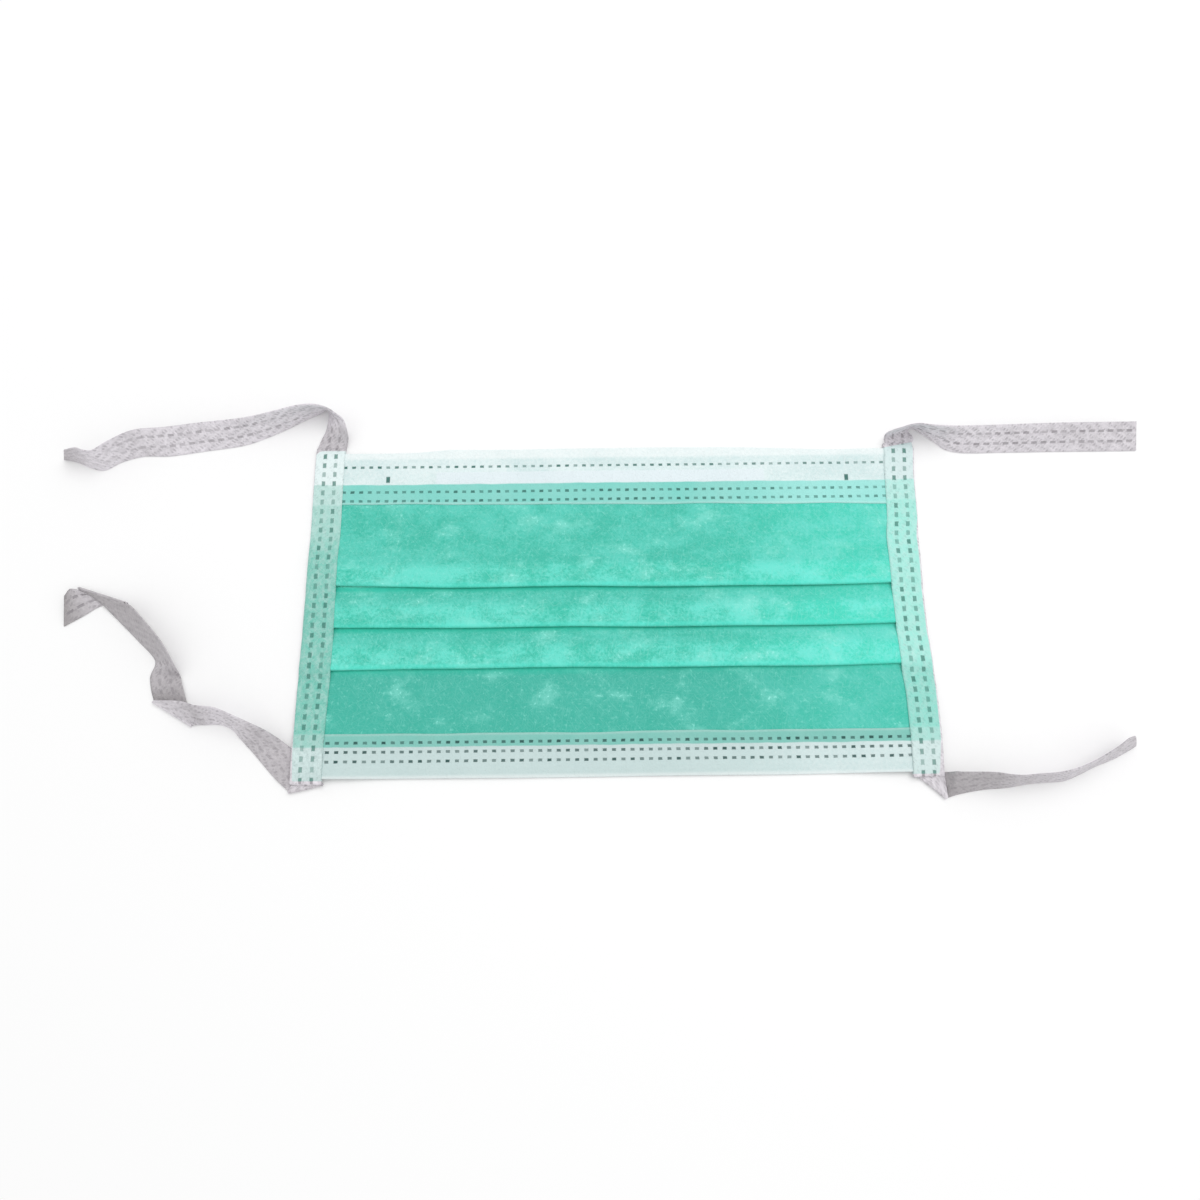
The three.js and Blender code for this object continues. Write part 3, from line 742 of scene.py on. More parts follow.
def white_finish(sizes, colours):
    """White nonwoven cloth that shows the green ply and the strip that lie under its flaps."""
    finish = cloth_finish("white_nonwoven")
    x, y, flap = finish.mark("at_x"), finish.mark("at_y"), finish.mark("flap")
    broad = finish.noise(x, y, 12.0, layer=2.0)
    fine = finish.noise(x, y, 0.9, 3.0, 0.6, layer=5.0)
    strands = fibres(finish, x, y, 3.0, 0.26)
    cloud = (broad * 0.5 + fine * 0.5).step(0.35, 0.65)
    base = finish.blend(cloud, colours.white_dark, colours.white_light)
    base = finish.blend(strands * 0.35, base, WHITE)
    # Painted shade, darker towards the bottom and less so on the right: the white ply and the green under the
    # lower flap. The lower hem's weld dashes are darker as well
    lower = y.step(-20.0, -35.0)
    base = finish.blend(lower * 0.8 * (1.0 - x.step(20.0, 65.0) * 0.55), base, colours.white_lower)
    strip_run = (x - STRIP_LEFT).step(-0.4, 0.4) * (x - STRIP_RIGHT).step(0.4, -0.4)
    strip_width = (y - STRIP_LOW).step(-0.5, 0.1) * (y - STRIP_HIGH).step(0.2, -0.2)
    base = finish.blend(strip_run * strip_width * flap * 0.75, base, colours.white_strip)
    wavy_y = y + (finish.noise(x, y, 6.0, layer=8.0) - 0.5) * 0.5
    over_green = (wavy_y - GREEN_TOP).step(0.25, -0.15) * (wavy_y - GREEN_BOTTOM).step(-0.15, 0.25)
    seen = 0.93 + (broad - 0.5) * 0.35
    # Painted light: the green seen through the flaps is lighter on the upper right
    upper_right = x.step(20.0, 62.0) * y.step(-10.0, 10.0)
    tinted = finish.blend(upper_right, colours.white_over_green, colours.white_over_green_right)
    tinted = finish.blend(lower, tinted, colours.white_over_green_low)
    base = finish.blend(over_green * flap * seen, base, tinted)
    base = finish.blend(finish.mark("edge") * 0.12, base, WHITE)
    # Painted light: both hems are lighter at their folded edges
    base = finish.blend(abs(y).step(45.4, 46.6) * 0.4, base, WHITE)
    pressed = hem_welds(finish, sizes, x, y)
    weld = finish.blend(lower, colours.weld, colours.weld_low)
    finish.colour(finish.blend(pressed * 0.95, base, weld))
    points = bond_points(finish, x, y, 1.15)
    finish.relief(strands * 0.5 + fine * 0.6 - points * 0.3 - pressed * 1.4)
    return finish


def binding_colour(finish, colours, green, white, fade, cloud, blotch):
    """The tape over the mask's cloth, from its green middle to the white hems and the white back."""
    y = finish.mark("at_y")
    pale = finish.blend(cloud * 0.5 + 0.5, colours.band_white_dark, white)
    under = finish.blend(cloud * 0.15, green, white)
    under = finish.blend(blotch * 0.2, under, colours.band_white_dark)
    under = finish.blend(y.step(14.0, 27.0) * fade, under, white)
    under = finish.blend(y.step(-15.0, -21.0) * (0.28 - fade * 0.85), under, colours.green_thin)
    wavy_y = y + (finish.noise(finish.mark("along"), finish.mark("across"), 5.0, layer=8.0) - 0.5) * 0.8
    flap_top = (wavy_y - TOP_FLAP_EDGE - 0.4).step(-0.5, 0.5)
    green_top = (wavy_y - GREEN_TOP).step(-0.3, 0.3)
    green_low = (wavy_y - GREEN_BOTTOM).step(0.3, -0.3)
    flap_low = (wavy_y - BOTTOM_FLAP_EDGE).step(0.5, -0.5)
    # Over the lower flap the band takes the white ply's painted shade
    lower_white = finish.blend(cloud * (0.35 + fade * 2.1), colours.band_white_dark, colours.white_lower)
    under = finish.blend(flap_top * 0.3 + green_top * 0.7, under, pale)
    under = finish.blend(flap_low * 0.3 + green_low * 0.65, under, lower_white)
    return finish.blend(finish.mark("behind") * 0.9, under, pale)


def tape_finish(name, sizes, colours, green, white, fade):
    """Grey nonwoven tape, tinted by the cloth that it is folded over.

    green and white are its colours over the two plies, and fade is how far it pales up the mask.
    """
    finish = cloth_finish(name)
    along, across = finish.mark("along"), finish.mark("across")
    over = finish.mark("inside").step(-0.1, 0.1)
    ties = 1.0 - over
    broad = finish.noise(along, across, 9.0)
    fine = finish.noise(along, across, 0.7, 3.0, 0.6, layer=5.0)
    strands = fibres(finish, along, across, 2.6, 0.24)
    cloud = (broad * 0.4 + fine * 0.6).step(0.34, 0.66)
    blotch = finish.noise(along / 1.3, across, 1.5, 3.0, 0.6, layer=23.0).step(0.40, 0.66)
    grey = finish.blend(cloud, colours.tape_dark, colours.tape_light)
    # Painted shade: each tie is darkened along its run where it turns from the light
    grey = finish.blend(finish.mark("tone"), grey, colours.tape_shade)
    grey = finish.blend(blotch * 0.24, grey, colours.tie_weld)
    base = finish.blend(over, grey, binding_colour(finish, colours, green, white, fade, cloud, blotch))
    base = finish.blend(strands * 0.2, base, WHITE)
    bold = dashes(finish, along, across, TAPE_DASH_LINES, sizes.tape_dash_pitch, BINDING_DASH)
    slim = dashes(finish, along, across, TAPE_DASH_LINES, sizes.tape_dash_pitch, TIE_DASH)
    pressed = bold * over * 0.85 + slim * ties * finish.mark("dash") * 0.8
    weld = finish.blend(over, colours.tie_weld, colours.band_weld)
    base = finish.blend(pressed, base, weld)
    steep = (along + across * 0.9).sine_of(TAPE_HATCH_PITCH)
    shallow = (along * 0.5 - across).sine_of(1.7 * TAPE_HATCH_PITCH)
    worn = finish.noise(along, across, 1.6, layer=13.0).step(0.38, 0.62)
    points = abs(steep * shallow).step(0.40, 0.85) * worn
    finish.colour(finish.blend(points * (0.10 + ties * 0.30), base, weld))
    finish.relief(strands * 0.5 + fine * 0.6 - points * 0.7 - pressed * 1.4)
    return finish


# Pieces


def columns_across(count):
    """Places across the mask, inside the tapes' fold edges."""
    half = MASK_WIDTH / 2 - 1.0
    return np.linspace(-half, half, count)


def outer_ply(sizes, colours):
    """The green ply, pleated, from one hem to the other."""
    rows = pleat_rows(sizes, GREEN_TOP, GREEN_BOTTOM)
    middle, normal = pleated_grid(rows, columns_across(GREEN_COLUMNS))
    grid = middle + PLY_OFFSET * normal
    level = rows[:, 1:]
    y = grid[..., 1]
    crease = np.zeros_like(y)
    single = np.ones_like(y)
    fold_highlight = np.zeros_like(y)
    for edge in FOLD_EDGES:
        above = y - edge
        # Painted shadow just below each fold edge
        crease = np.maximum(crease, between(above, -1.6, -0.1, 0.4, 1.0) * (level < 0.8))
        # Painted highlight along the top of each fold edge
        fold_highlight = np.maximum(fold_highlight, between(above, -0.4, 0.3, 0.6, 1.7) * (level > 1.2))
        past_back = smooth(above - sizes.pleat_depth, -2.6, 0.6)
        single = np.minimum(single, 1.0 - (above > 0.0) * (1.0 - past_back))
    single = single * (0.5 + 0.5 * smooth(-y, 16.5, 18.5))
    marks = {"at_x": grid[..., 0], "cloth_y": run_along(grid), "crease": crease, "fold_highlight": fold_highlight, "single": single}
    piece = sheet_mesh("green_outer_ply", grid, sizes.green_thickness, marks)
    fit_piece(piece, green_finish(colours), "green_ply", "pleated_panel")


def flap_height(y, x, flap):
    """The height of a flap's middle line, over the nose strip or beside it."""
    up, over, beside = np.array(flap).T
    over = np.interp(y, up, over)
    beside = np.interp(y, up, beside)
    strip = between(x, STRIP_LEFT - 2.0, STRIP_LEFT + 1.0, STRIP_RIGHT - 1.0, STRIP_RIGHT + 2.0)
    return beside + (over - beside) * strip


def hem_pull(x, y, hem):
    """How far the cloth near a hem's folded edge lies above its straight place."""
    up = math.copysign(1.0, hem.edge)
    near = smooth(up * y, up * hem.edge - HEM_PULL, up * hem.edge)
    middle = between(x, -60.0, -46.0, 28.0, 66.0)
    wander = hem.stray * ripple(x, 0.0, seed=hem.seed, length=50.0)
    return (hem.rise + hem.middle_rise * middle + wander) * near


def hem_flap(x, hem, sizes):
    """A hem from its free edge in front to its turn, as rows of points, and where its turn begins."""
    up = math.copysign(1.0, hem.edge)
    turn_y = hem.edge - up * (HEM_TURN_RADIUS + sizes.white_thickness / 2)
    turn_z = LINE_HEIGHT - PLY_OFFSET
    free = hem.flap_edge + hem.slope * x + FLAP_STRAY * ripple(x, 0.0, seed=hem.seed + 1, length=26.0)
    share = np.linspace(0.0, 1.0, FLAP_ROWS)[:, None]
    y = free + (turn_y - free) * share
    z = flap_height(y, x, hem.flap)
    z = z + (turn_z + 2 * HEM_TURN_RADIUS - z) * smooth(share, 0.93, 1.0)
    angles = TURN_ANGLES[:, None]
    turn_rows_y = turn_y + up * HEM_TURN_RADIUS * np.sin(angles) + 0.0 * x
    turn_rows_z = turn_z + HEM_TURN_RADIUS * (1.0 + np.cos(angles)) + 0.0 * x
    y = np.concatenate([y, turn_rows_y])
    z = np.concatenate([z, turn_rows_z])
    y = y + hem_pull(x, y, hem)
    x = np.broadcast_to(x, y.shape)
    return np.stack([x, y, z + ground(x, y)], axis=-1), turn_y


def white_lining(sizes, colours):
    """The white ply: the whole back of the mask, turned over both long edges to the front."""
    columns = columns_across(WHITE_COLUMNS)
    top, top_turn = hem_flap(columns, TOP_HEM, sizes)
    bottom, bottom_turn = hem_flap(columns, BOTTOM_HEM, sizes)
    middle, normal = pleated_grid(pleat_rows(sizes, top_turn, bottom_turn), columns)
    back = middle - PLY_OFFSET * normal
    for hem in (TOP_HEM, BOTTOM_HEM):
        back[..., 1] += hem_pull(columns, back[..., 1], hem)
    grid = np.concatenate([top, back, bottom[::-1]])
    flap = np.ones(grid.shape[:2])
    flap[len(top) : -len(bottom)] = 0.0
    edge = np.ones(grid.shape[:2])
    edge[2:-2] = 0.0
    marks = {"at_x": grid[..., 0], "at_y": grid[..., 1], "flap": flap, "edge": edge}
    piece = sheet_mesh("white_lining", grid, sizes.white_thickness, marks)
    fit_piece(piece, white_finish(sizes, colours), "white_ply", "top_hem", "bottom_hem")


def nose_strip(sizes, colours):
    """The flat bendable strip with its two wires, inside the top hem."""
    half = (STRIP_HIGH - STRIP_LOW) / 2
    x = np.linspace(STRIP_LEFT, STRIP_RIGHT, STRIP_COLUMNS)[None, :]
    aside = np.linspace(1.0, -1.0, STRIP_ROWS)[:, None]
    short = np.clip(np.minimum(x - STRIP_LEFT, STRIP_RIGHT - x) / STRIP_CORNER, 0.0, 1.0)
    width = half - STRIP_CORNER * (1.0 - np.sqrt(1.0 - (1.0 - short) ** 2))
    y = (STRIP_LOW + STRIP_HIGH) / 2 + aside * np.maximum(width, 0.4)
    x = np.broadcast_to(x, y.shape)
    wires = np.exp(-(((np.abs(aside) - WIRE_ASIDE) / WIRE_WIDTH) ** 2))
    z = STRIP_HEIGHT + WIRE_RISE * wires + ground(x, y)
    piece = sheet_mesh("nose_strip", np.stack([x, y, z], axis=-1), sizes.strip_thickness, {})
    finish = Finish("coated_strip", Base_Color=(*colours.strip, 1.0), Roughness=0.45)
    fit_piece(piece, finish, "wire", "nose_wire")


# Tapes


def catmull_rom(points, steps):
    """A smooth line through points, with that many steps between two of them."""
    points = np.array(points)
    padded = np.concatenate([[2 * points[0] - points[1]], points, [2 * points[-1] - points[-2]]])
    made = []
    for p0, p1, p2, p3 in zip(padded, padded[1:], padded[2:], padded[3:]):
        t1 = max(np.linalg.norm(p1 - p0) ** 0.5, 1e-4)
        t2 = t1 + max(np.linalg.norm(p2 - p1) ** 0.5, 1e-4)
        t3 = t2 + max(np.linalg.norm(p3 - p2) ** 0.5, 1e-4)
        for t in np.linspace(t1, t2, steps, endpoint=False):
            a1 = p0 + (p1 - p0) * (t / t1)
            a2 = p1 + (p2 - p1) * ((t - t1) / (t2 - t1))
            a3 = p2 + (p3 - p2) * ((t - t2) / (t3 - t2))
            b1 = a1 + (a2 - a1) * (t / t2)
            b2 = a2 + (a3 - a2) * ((t - t1) / (t3 - t1))
            made.append(b1 + (b2 - b1) * ((t - t1) / (t2 - t1)))
    made.append(points[-1])
    return np.array(made)


def tie_section(row, layer, reach, corner, sizes):
    """The fold edge and the raw edge of a tie at one row of its table, right of the mask."""
    facing, lean = math.radians(row.facing), math.radians(row.lean)
    length = row.span * TAPE_WIDTH
    half = (TIE_GAP + sizes.tape_thickness) / 2 * abs(math.cos(lean))
    rest = layer * TIE_LAYER + half + TABLE_CLEARANCE
    low = np.array([MASK_WIDTH / 2 + row.out * reach, corner + row.up * reach, rest])
    flat = length * math.cos(lean)
    high = low + np.array([-math.cos(facing) * flat, math.sin(facing) * flat, length * math.sin(lean)])
    return (low, high) if row.side == 0 else (high, low)


def crease_turn(upper, under, before):
    """The sections of a tie's crease, bulging the way that the tape came."""
    crease = (upper[1] - upper[0]) * (1.0, 1.0, 0.0)
    crease = crease / np.linalg.norm(crease)
    came = (upper[0] + upper[1] - before[0] - before[1]) * (1.0, 1.0, 0.0)
    outward = came - crease * np.dot(came, crease)
    outward = outward / np.linalg.norm(outward)
    sections = []
    for angle in TURN_ANGLES:
        sink = (1.0 - math.cos(angle)) / 2
        bulge = outward * math.sin(angle)
        pairs = zip(upper, under)
        sections.append([a + (b - a) * sink + bulge * np.linalg.norm(b - a) / 2 for a, b in pairs])
    return sections


def tie_sections(tie, corner, sizes):
    """All sections of a tie, from the mask to its free end, as (fold edge, raw edge) pairs."""
    stretches = [[]]
    creases = []
    for row in tie.rows:
        stretches[-1].append(tie_section(row, row.lift, tie.reach, corner, sizes))
        if row.fold:
            under = tie_section(row, row.lift - 1, tie.reach, corner, sizes)
            creases.append((stretches[-1][-1], under))
            stretches.append([under])
    sections = []
    for number, stretch in enumerate(stretches):
        fold = catmull_rom([s[0] for s in stretch], CURVE_STEPS)
        raw = catmull_rom([s[1] for s in stretch], CURVE_STEPS)
        sections += [list(pair) for pair in zip(fold, raw)]
        if number < len(creases):
            sections += crease_turn(*creases[number], sections[-2])
    return resample(np.array(sections), TIE_STEP)


def resample(sections, step):
    """The same sections at even steps along the tape's middle, keeping the tight turns."""
    run = run_along(sections.mean(axis=1))
    keep = np.concatenate([[True], np.diff(run) > 1e-4])
    sections, run = sections[keep], run[keep]
    places = [0.0]
    while places[-1] < run[-1] - 1e-6:
        near = np.searchsorted(run, places[-1], side="right")
        own = run[min(near, len(run) - 1)] - run[max(near - 1, 0)]
        places.append(min(run[-1], places[-1] + min(step, max(own, 0.1))))
    flat = sections.reshape(len(sections), 6)
    return np.stack([np.interp(places, run, flat[:, i]) for i in range(6)], axis=1).reshape(-1, 2, 3)


def stack_top(y, sizes):
    """The top of what a tape is folded over, at a height up the mask."""
    low = LINE_HEIGHT + PLY_OFFSET + sizes.green_thickness / 2
    high = np.full_like(y, low)
    for place, level in pleat_rows(sizes, TOP_EDGE, BOTTOM_EDGE):
        near = np.abs(y - place) < 1.0
        high[near] = np.maximum(high[near], low + LAYER_AT_TAPE * level)
    flap = FLAP_AT_TAPE + sizes.white_thickness / 2
    on_flap = (y > TOP_FLAP_EDGE - 0.8) | (y < BOTTOM_FLAP_EDGE + 0.8)
    return np.where(on_flap, np.maximum(high, flap), high) + LIFT_OVER_TAPE


def blurred(values, width):
    """Values with their small steps rounded off."""
    reach = int(3 * width)
    weights = np.exp(-0.5 * (np.arange(-reach, reach + 1) / width) ** 2)
    padded = np.pad(values, reach, mode="edge")
    return np.convolve(padded, weights / weights.sum(), mode="valid")


def band_sections(tape, sizes):
    """The tape's stretch on the mask from top to bottom, as sections and the gap between its legs."""
    y = np.linspace(TOP_EDGE, BOTTOM_EDGE, BAND_ROWS)
    top = blurred(stack_top(y, sizes), 2.2) + sizes.tape_thickness / 2 + TAPE_CLEARANCE
    bottom = sizes.tape_thickness / 2 + TABLE_CLEARANCE
    up, inner, outer, _ = np.array(tape.band)[::-1].T
    outer_wander = TAPE_STRAY * ripple(y, 0.0, seed=60 + tape.side, length=40.0)
    inner_wander = TAPE_STRAY * ripple(y, 0.0, seed=80 + tape.side, length=55.0)
    outer = blurred(np.interp(y, up, outer), 6.0) + outer_wander
    inner = blurred(np.interp(y, up, inner), 5.0) + inner_wander
    middle = (top + bottom) / 2 + corner_lift(MASK_WIDTH / 2, y)
    fold = np.stack([outer, y, middle], axis=-1)
    raw = np.stack([inner, y, middle], axis=-1)
    return np.stack([fold, raw], axis=1), top - bottom


def inside_cloth(tape, grid, over):
    """How far inside the edge of the mask's cloth each point of a tape is, and below 0 outside it."""
    up, inner, _, cloth = np.array(tape.band)[::-1].T
    out, y = grid[..., 0], grid[..., 1]
    top = tape.cloth_top + tape.cloth_slope * (out - inner[0]) / TAPE_WIDTH
    inside = np.minimum(np.minimum(top - y, y - BOTTOM_EDGE - 0.4), np.interp(y, up, cloth) - out)
    on_mask = blurred(over, 3.0) > 0.02
    return np.where(on_mask[:, None], inside, -5.0)


def tie_look(tie, count):
    """The painted shade and the dashes of a tie at each of its sections."""
    run, tone, dash = np.array(tie.look).T
    share = np.linspace(0.0, 1.0, count)
    return np.stack([np.interp(share, run, tone), np.interp(share, run, dash)], axis=1)


def tape_path(tape, sizes):
    """Every section of a tape from its upper free end to its lower one, with what goes with each.

    That is the gap between its legs, 1 on the mask and 0 on its ties, and its painted shade and dashes.
    """
    upper = tie_sections(tape.upper, TOP_EDGE, sizes)
    lower = tie_sections(tape.lower, BOTTOM_EDGE, sizes)
    on_mask, gap = band_sections(tape, sizes)
    sections = np.concatenate([upper[::-1], on_mask, lower])
    stretch = slice(len(upper), len(upper) + len(on_mask))
    gaps = np.full(len(sections), TIE_GAP)
    gaps[stretch] = gap
    over = np.zeros(len(sections))
    over[stretch] = 1.0
    upper_look = tie_look(tape.upper, len(upper))[::-1]
    band_look = np.broadcast_to((0.0, 1.0), (len(on_mask), 2))
    looks = np.concatenate([upper_look, band_look, tie_look(tape.lower, len(lower))])
    return sections, blurred(gaps, 3.0), over, looks


def cross_section(gap):
    """A folded tape seen from its end: from the back leg's raw edge round the fold to the front leg's.

    Each point has its distance from the fold edge and its height in half gaps.
    """
    radius = gap[:, None] / 2
    leg = np.linspace(1.0, 0.0, LEG_POINTS)
    straight = np.maximum(TAPE_WIDTH - radius, 1.0) * leg + radius
    angles = np.linspace(-0.5 * math.pi, 0.5 * math.pi, 7)[1:-1]
    turn = radius * (1.0 - np.cos(angles))
    inward = np.concatenate([straight, turn, straight[:, ::-1]], axis=1)
    flat = np.ones(LEG_POINTS)
    return inward, np.broadcast_to(np.concatenate([-flat, np.sin(angles), flat]), inward.shape)


def tape_piece(name, node, tape, finish, sizes):
    """One tape: upper tie, the binding round the mask's side, and lower tie."""
    sections, gaps, over, looks = tape_path(tape, sizes)
    fold, raw = sections[:, 0], sections[:, 1]
    middle = (fold + raw) / 2
    across = raw - fold
    front = np.cross(across, np.gradient(middle, axis=0))
    front = front / np.maximum(np.linalg.norm(front, axis=1, keepdims=True), 1e-9)
    inward, height = cross_section(gaps)
    run = run_along(middle)
    share = inward / TAPE_WIDTH
    cup = TIE_CUP * ripple(run, 0.0, seed=90 + tape.side, length=34.0) * (1.0 - over)
    rise = height * gaps[:, None] / 2 + cup[:, None] * 4.0 * share * (1.0 - share)
    grid = fold[:, None] + across[:, None] * share[..., None] + front[:, None] * rise[..., None]
    lowest = grid[..., 2].min(axis=1) - sizes.tape_thickness / 2 - TABLE_CLEARANCE
    sunk = np.maximum(0.0, -lowest)
    grid[..., 2] += np.maximum(blurred(sunk, 2.0), sunk)[:, None]
    along = run - run[over > 0.5].mean()
    marks = {
        "along": np.broadcast_to(along[:, None], inward.shape),
        "across": inward,
        "at_y": grid[..., 1],
        "inside": inside_cloth(tape, grid, over),
        "behind": smooth(-height, 0.2, 0.9),
        "tone": looks[:, :1],
        "dash": looks[:, 1:],
    }
    if tape.side < 0:
        grid = (grid * (-1.0, 1.0, 1.0))[:, ::-1]
        marks = {mark: values[:, ::-1] for mark, values in marks.items()}
    piece = sheet_mesh(name, grid, sizes.tape_thickness, marks)
    fit_piece(piece, finish, "tape", node)


def tie_tapes(sizes, colours):
    """Both folded tapes with their free ties."""
    tapes = (
        ("left", LEFT_TAPE, colours.band_green_left, colours.band_white_left, 0.3),
        ("right", RIGHT_TAPE, colours.band_green_right, colours.band_white_right, 0.0),
    )
    for name, tape, green, white, fade in tapes:
        finish = tape_finish(f"{name}_tape_nonwoven", sizes, colours, green, white, fade)
        tape_piece(f"{name}_tie_tape", f"{name}_tape", tape, finish, sizes)


# Stage


def photo_camera():
    """A camera at the photograph's place, angle and lens."""
    data = bpy.data.cameras.new("photo_camera")
    data.sensor_fit = "HORIZONTAL"
    data.sensor_width = CAMERA_SENSOR
    data.lens = CAMERA_LENS
    data.clip_start = 0.01
    matrix = Matrix.Translation(Vector(CAMERA_PLACE) * MM)
    for angle, axis in ((CAMERA_AZIMUTH, "Z"), (90.0 - CAMERA_ELEVATION, "X"), (CAMERA_ROLL, "Z")):
        matrix = matrix @ Matrix.Rotation(math.radians(angle), 4, axis)
    camera = bpy.data.objects.new("photo_camera", data)
    camera.matrix_world = matrix
    bpy.context.scene.collection.objects.link(camera)
    bpy.context.scene.camera = camera


def table_top(sizes, colours):
    """A plain pale table, large enough for every view."""
    finish = Finish("table_white", Base_Color=(*colours.table, 1.0), Roughness=0.9, Specular_IOR_Level=0.0)
    half, height = sizes.table_width * MM / 2, -TABLE_BELOW * MM
    corners = [(x * half, y * half, height) for x, y in ((-1, -1), (1, -1), (1, 1), (-1, 1))]
    mesh = bpy.data.meshes.new("table_top")
    mesh.from_pydata(corners, [], [(0, 1, 2, 3)])
    mesh.materials.append(finish.material)
    table = bpy.data.objects.new("table_top", mesh)
    bpy.context.scene.collection.objects.link(table)


def soft_light(sizes):
    """A large square lamp that looks at the mask."""
    data = bpy.data.lights.new("soft_box", "AREA")
    data.shape = "SQUARE"
    data.size = sizes.lamp_width * MM
    data.energy = LAMP_POWER
    lamp = bpy.data.objects.new("soft_box", data)
    lamp.location = Vector(LAMP_PLACE) * MM
    lamp.rotation_euler = (-Vector(LAMP_PLACE)).to_track_quat("-Z", "Y").to_euler()
    bpy.context.scene.collection.objects.link(lamp)


def studio(sizes, colours):
    """Table, soft light and camera."""
    table_top(sizes, colours)
    world = bpy.data.worlds.new("soft_room")
    world.use_nodes = True
    background = world.node_tree.nodes["Background"]
    background.inputs["Color"].default_value = (*WHITE, 1.0)
    background.inputs["Strength"].default_value = ROOM_LIGHT
    scene = bpy.context.scene
    scene.world = world
    soft_light(sizes)
    photo_camera()
    scene.view_settings.view_transform = "Standard"
    scene.view_settings.look = "None"


# Add-on


# The sizes that a user may change, in millimetres, and what each is
SIZES = {
    "green_thickness": (0.20, "Thickness of the green ply"),
    "white_thickness": (0.12, "Thickness of the white ply"),
    "tape_thickness": (0.15, "Thickness of each leg of the tapes"),
    "strip_thickness": (0.30, "Thickness of the nose strip beside its wires"),
    "pleat_depth": (7.6, "From a pleat's front fold to its back fold"),
    "hem_dash_pitch": (2.5, "From one weld dash to the next on the hems"),
    "tape_dash_pitch": (2.85, "From one weld dash to the next on the tapes"),
    "table_width": (4000.0, "Width of the table"),
    "lamp_width": (900.0, "Width of the soft lamp"),
}

# The colours that a user may change, and where each shows
COLOURS = {
    "green_light": ((0.13, 0.72, 0.595), "Dense parts of the green ply"),
    "green_dark": ((0.043, 0.52, 0.385), "Thin parts of the green ply"),
    # The two right-hand greens are painted light, lighter towards the right
    "green_light_right": ((0.155, 0.80, 0.68), "By the right tape"),
    "green_dark_right": ((0.055, 0.68, 0.51), "By the right tape"),
    # Painted highlight along the pleats' fold edges
    "green_lip": ((0.09, 0.80, 0.64), "The pleats' pressed fold edges"),
    "green_thin": ((0.050, 0.43, 0.335), "Where the green ply lies single"),
    "green_fibre": ((0.32, 0.85, 0.75), "Light fibres on the green ply"),
    # Painted shadow under the pleats' fold edges
    "green_crease": ((0.02, 0.52, 0.38), "Green under the pleats' fold edges"),
    "white_light": ((0.74, 0.86, 0.86), "Dense parts of the white ply"),
    "white_dark": ((0.60, 0.76, 0.76), "Thin parts of the white ply"),
    # Painted shade, darker towards the bottom
    "white_lower": ((0.53, 0.66, 0.65), "White ply, lower edge"),
    "white_strip": ((0.77, 0.85, 0.89), "White ply over the nose strip"),
    "white_over_green": ((0.21, 0.645, 0.57), "Flaps over green"),
    # Painted light on the upper right
    "white_over_green_right": ((0.33, 0.77, 0.71), "Upper right flap"),
    # Painted shade, darker towards the bottom
    "white_over_green_low": ((0.205, 0.545, 0.475), "Lower flap over green"),
    "weld": ((0.040, 0.16, 0.135), "Pressed dashes on the hems"),
    "weld_low": ((0.018, 0.075, 0.068), "Pressed dashes on the lower hem"),
    "tape_light": ((0.86, 0.82, 0.87), "Dense parts of the tape"),
    "tape_dark": ((0.70, 0.67, 0.71), "Thin parts of the tape"),
    "tape_shade": ((0.34, 0.32, 0.325), "Ties turned from the light"),
    "band_white_left": ((0.80, 0.91, 0.91), "By the left side"),
    "band_white_right": ((0.67, 0.82, 0.82), "By the right side"),
    "band_white_dark": ((0.68, 0.82, 0.81), "Thin tape over white"),
    "band_green_left": ((0.145, 0.535, 0.435), "By the left side"),
    "band_green_right": ((0.335, 0.80, 0.70), "By the right side"),
    "tie_weld": ((0.27, 0.25, 0.27), "Pressed dashes on the ties"),
    "band_weld": ((0.045, 0.20, 0.16), "Pressed dashes on the binding"),
    "strip": ((0.85, 0.88, 0.88), "The coated nose strip"),
    "table": ((0.94, 0.94, 0.94), "The plain table"),
}


def label(name):
    return name.replace("_", " ").capitalize()


def size_property(name, length, description):
    return bpy.props.FloatProperty(
        name=label(name), description=description, default=length * MM, min=0.0, precision=5, unit="LENGTH"
    )


def colour_property(name, colour, description):
    return bpy.props.FloatVectorProperty(
        name=label(name), description=description, default=colour, min=0.0, max=1.0, subtype="COLOR", size=3
    )


class MaskSizes(bpy.types.PropertyGroup):
    """Sizes of the mask and the studio that a user may change."""

    __annotations__ = {name: size_property(name, *row) for name, row in SIZES.items()}


class MaskColours(bpy.types.PropertyGroup):
    """Colours of the mask's cloths, its strip and the table."""

    __annotations__ = {name: colour_property(name, *row) for name, row in COLOURS.items()}


def in_millimetres(group):
    """The sizes in millimetres, without the rounding that Blender stores them with."""
    return SimpleNamespace(**{name: round(getattr(group, name) / MM, 4) for name in SIZES})


class MaskPiece:
    """What every operator of this add-on shares."""

    bl_options = {"REGISTER", "UNDO"}
    build = None

    def execute(self, context):
        type(self).build(in_millimetres(context.scene.mask_sizes), context.scene.mask_colours)
        return {"FINISHED"}


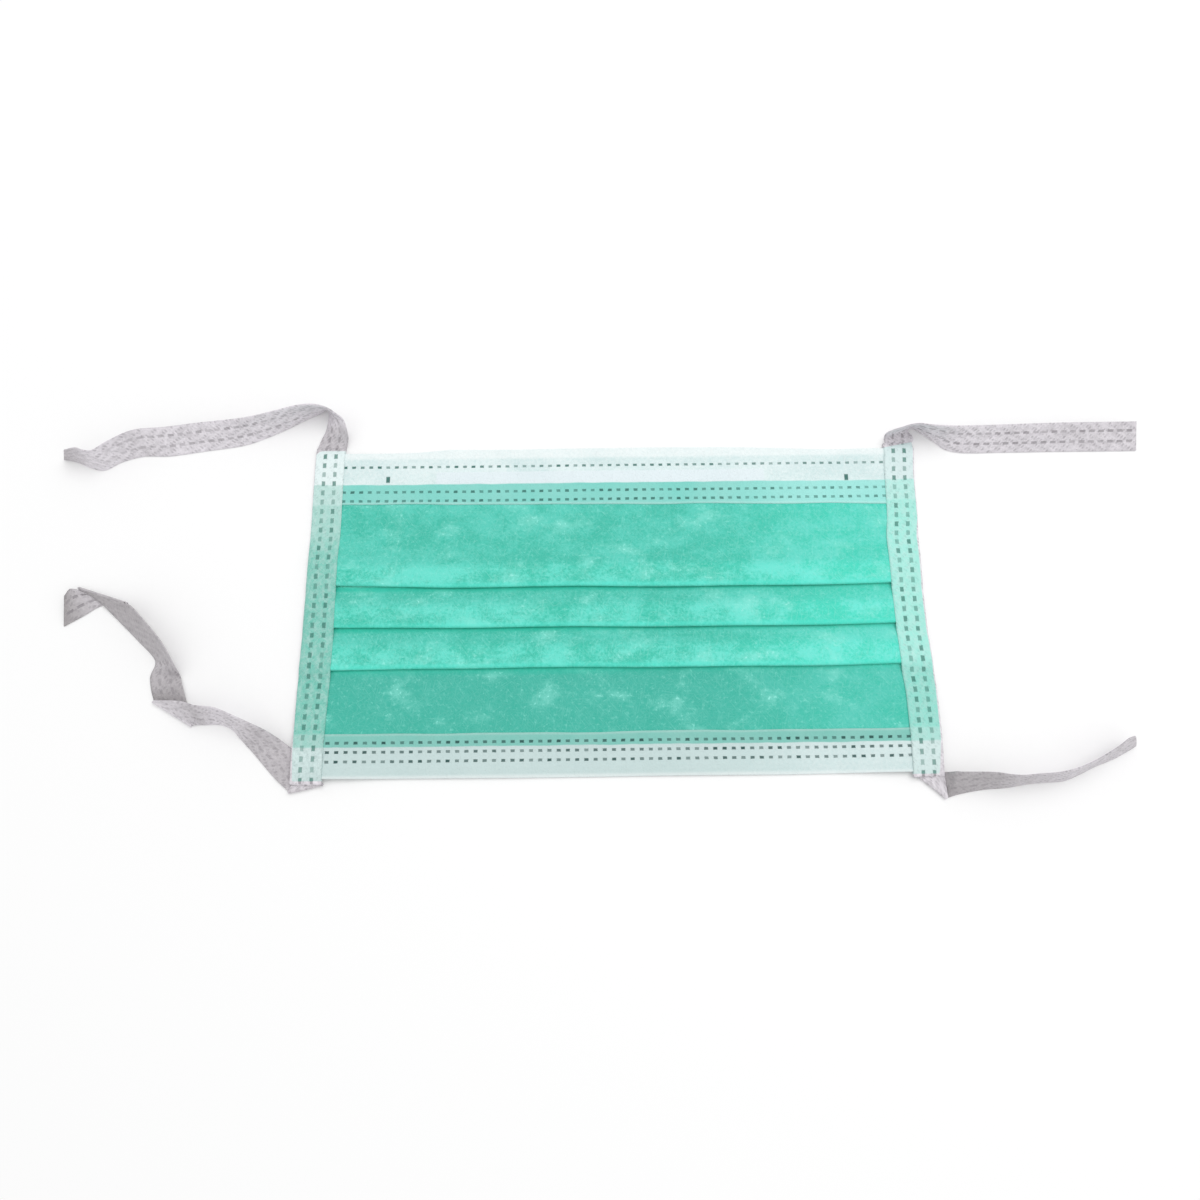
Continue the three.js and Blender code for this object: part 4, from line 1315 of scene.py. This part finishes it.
class MASK_OT_studio(MaskPiece, bpy.types.Operator):
    """Set the table, the soft light and the camera"""

    bl_idname = "mask.studio"
    bl_label = "Studio"
    build = studio


class MASK_OT_white_lining(MaskPiece, bpy.types.Operator):
    """Fold the white lining with its two hems"""

    bl_idname = "mask.white_lining"
    bl_label = "White lining"
    build = white_lining


class MASK_OT_outer_ply(MaskPiece, bpy.types.Operator):
    """Fold the green outer ply into its pleats"""

    bl_idname = "mask.outer_ply"
    bl_label = "Green outer ply"
    build = outer_ply


class MASK_OT_nose_strip(MaskPiece, bpy.types.Operator):
    """Lay the nose strip into the top hem"""

    bl_idname = "mask.nose_strip"
    bl_label = "Nose strip"
    build = nose_strip


class MASK_OT_tie_tapes(MaskPiece, bpy.types.Operator):
    """Fold both tapes round the mask's sides and lay out their ties"""

    bl_idname = "mask.tie_tapes"
    bl_label = "Tie tapes"
    build = tie_tapes


PIECES = (MASK_OT_studio, MASK_OT_white_lining, MASK_OT_outer_ply, MASK_OT_nose_strip, MASK_OT_tie_tapes)


class MASK_PT_pieces(bpy.types.Panel):
    """Lists the mask's pieces, sizes and colours"""

    bl_idname = "MASK_PT_pieces"
    bl_label = "Face mask"
    bl_space_type = "VIEW_3D"
    bl_region_type = "UI"
    bl_category = "Face mask"

    def draw(self, context):
        for piece in PIECES:
            self.layout.operator(piece.bl_idname)
        for name in SIZES:
            self.layout.prop(context.scene.mask_sizes, name)
        for name in COLOURS:
            self.layout.prop(context.scene.mask_colours, name)


CLASSES = (MaskSizes, MaskColours, *PIECES, MASK_PT_pieces)


def register():
    for each in CLASSES:
        bpy.utils.register_class(each)
    bpy.types.Scene.mask_sizes = bpy.props.PointerProperty(type=MaskSizes)
    bpy.types.Scene.mask_colours = bpy.props.PointerProperty(type=MaskColours)


def unregister():
    del bpy.types.Scene.mask_colours
    del bpy.types.Scene.mask_sizes
    for each in reversed(CLASSES):
        bpy.utils.unregister_class(each)


def main():
    register()
    for piece in PIECES:
        group, name = piece.bl_idname.split(".")
        getattr(getattr(bpy.ops, group), name)()


if __name__ == "__main__":
    main()
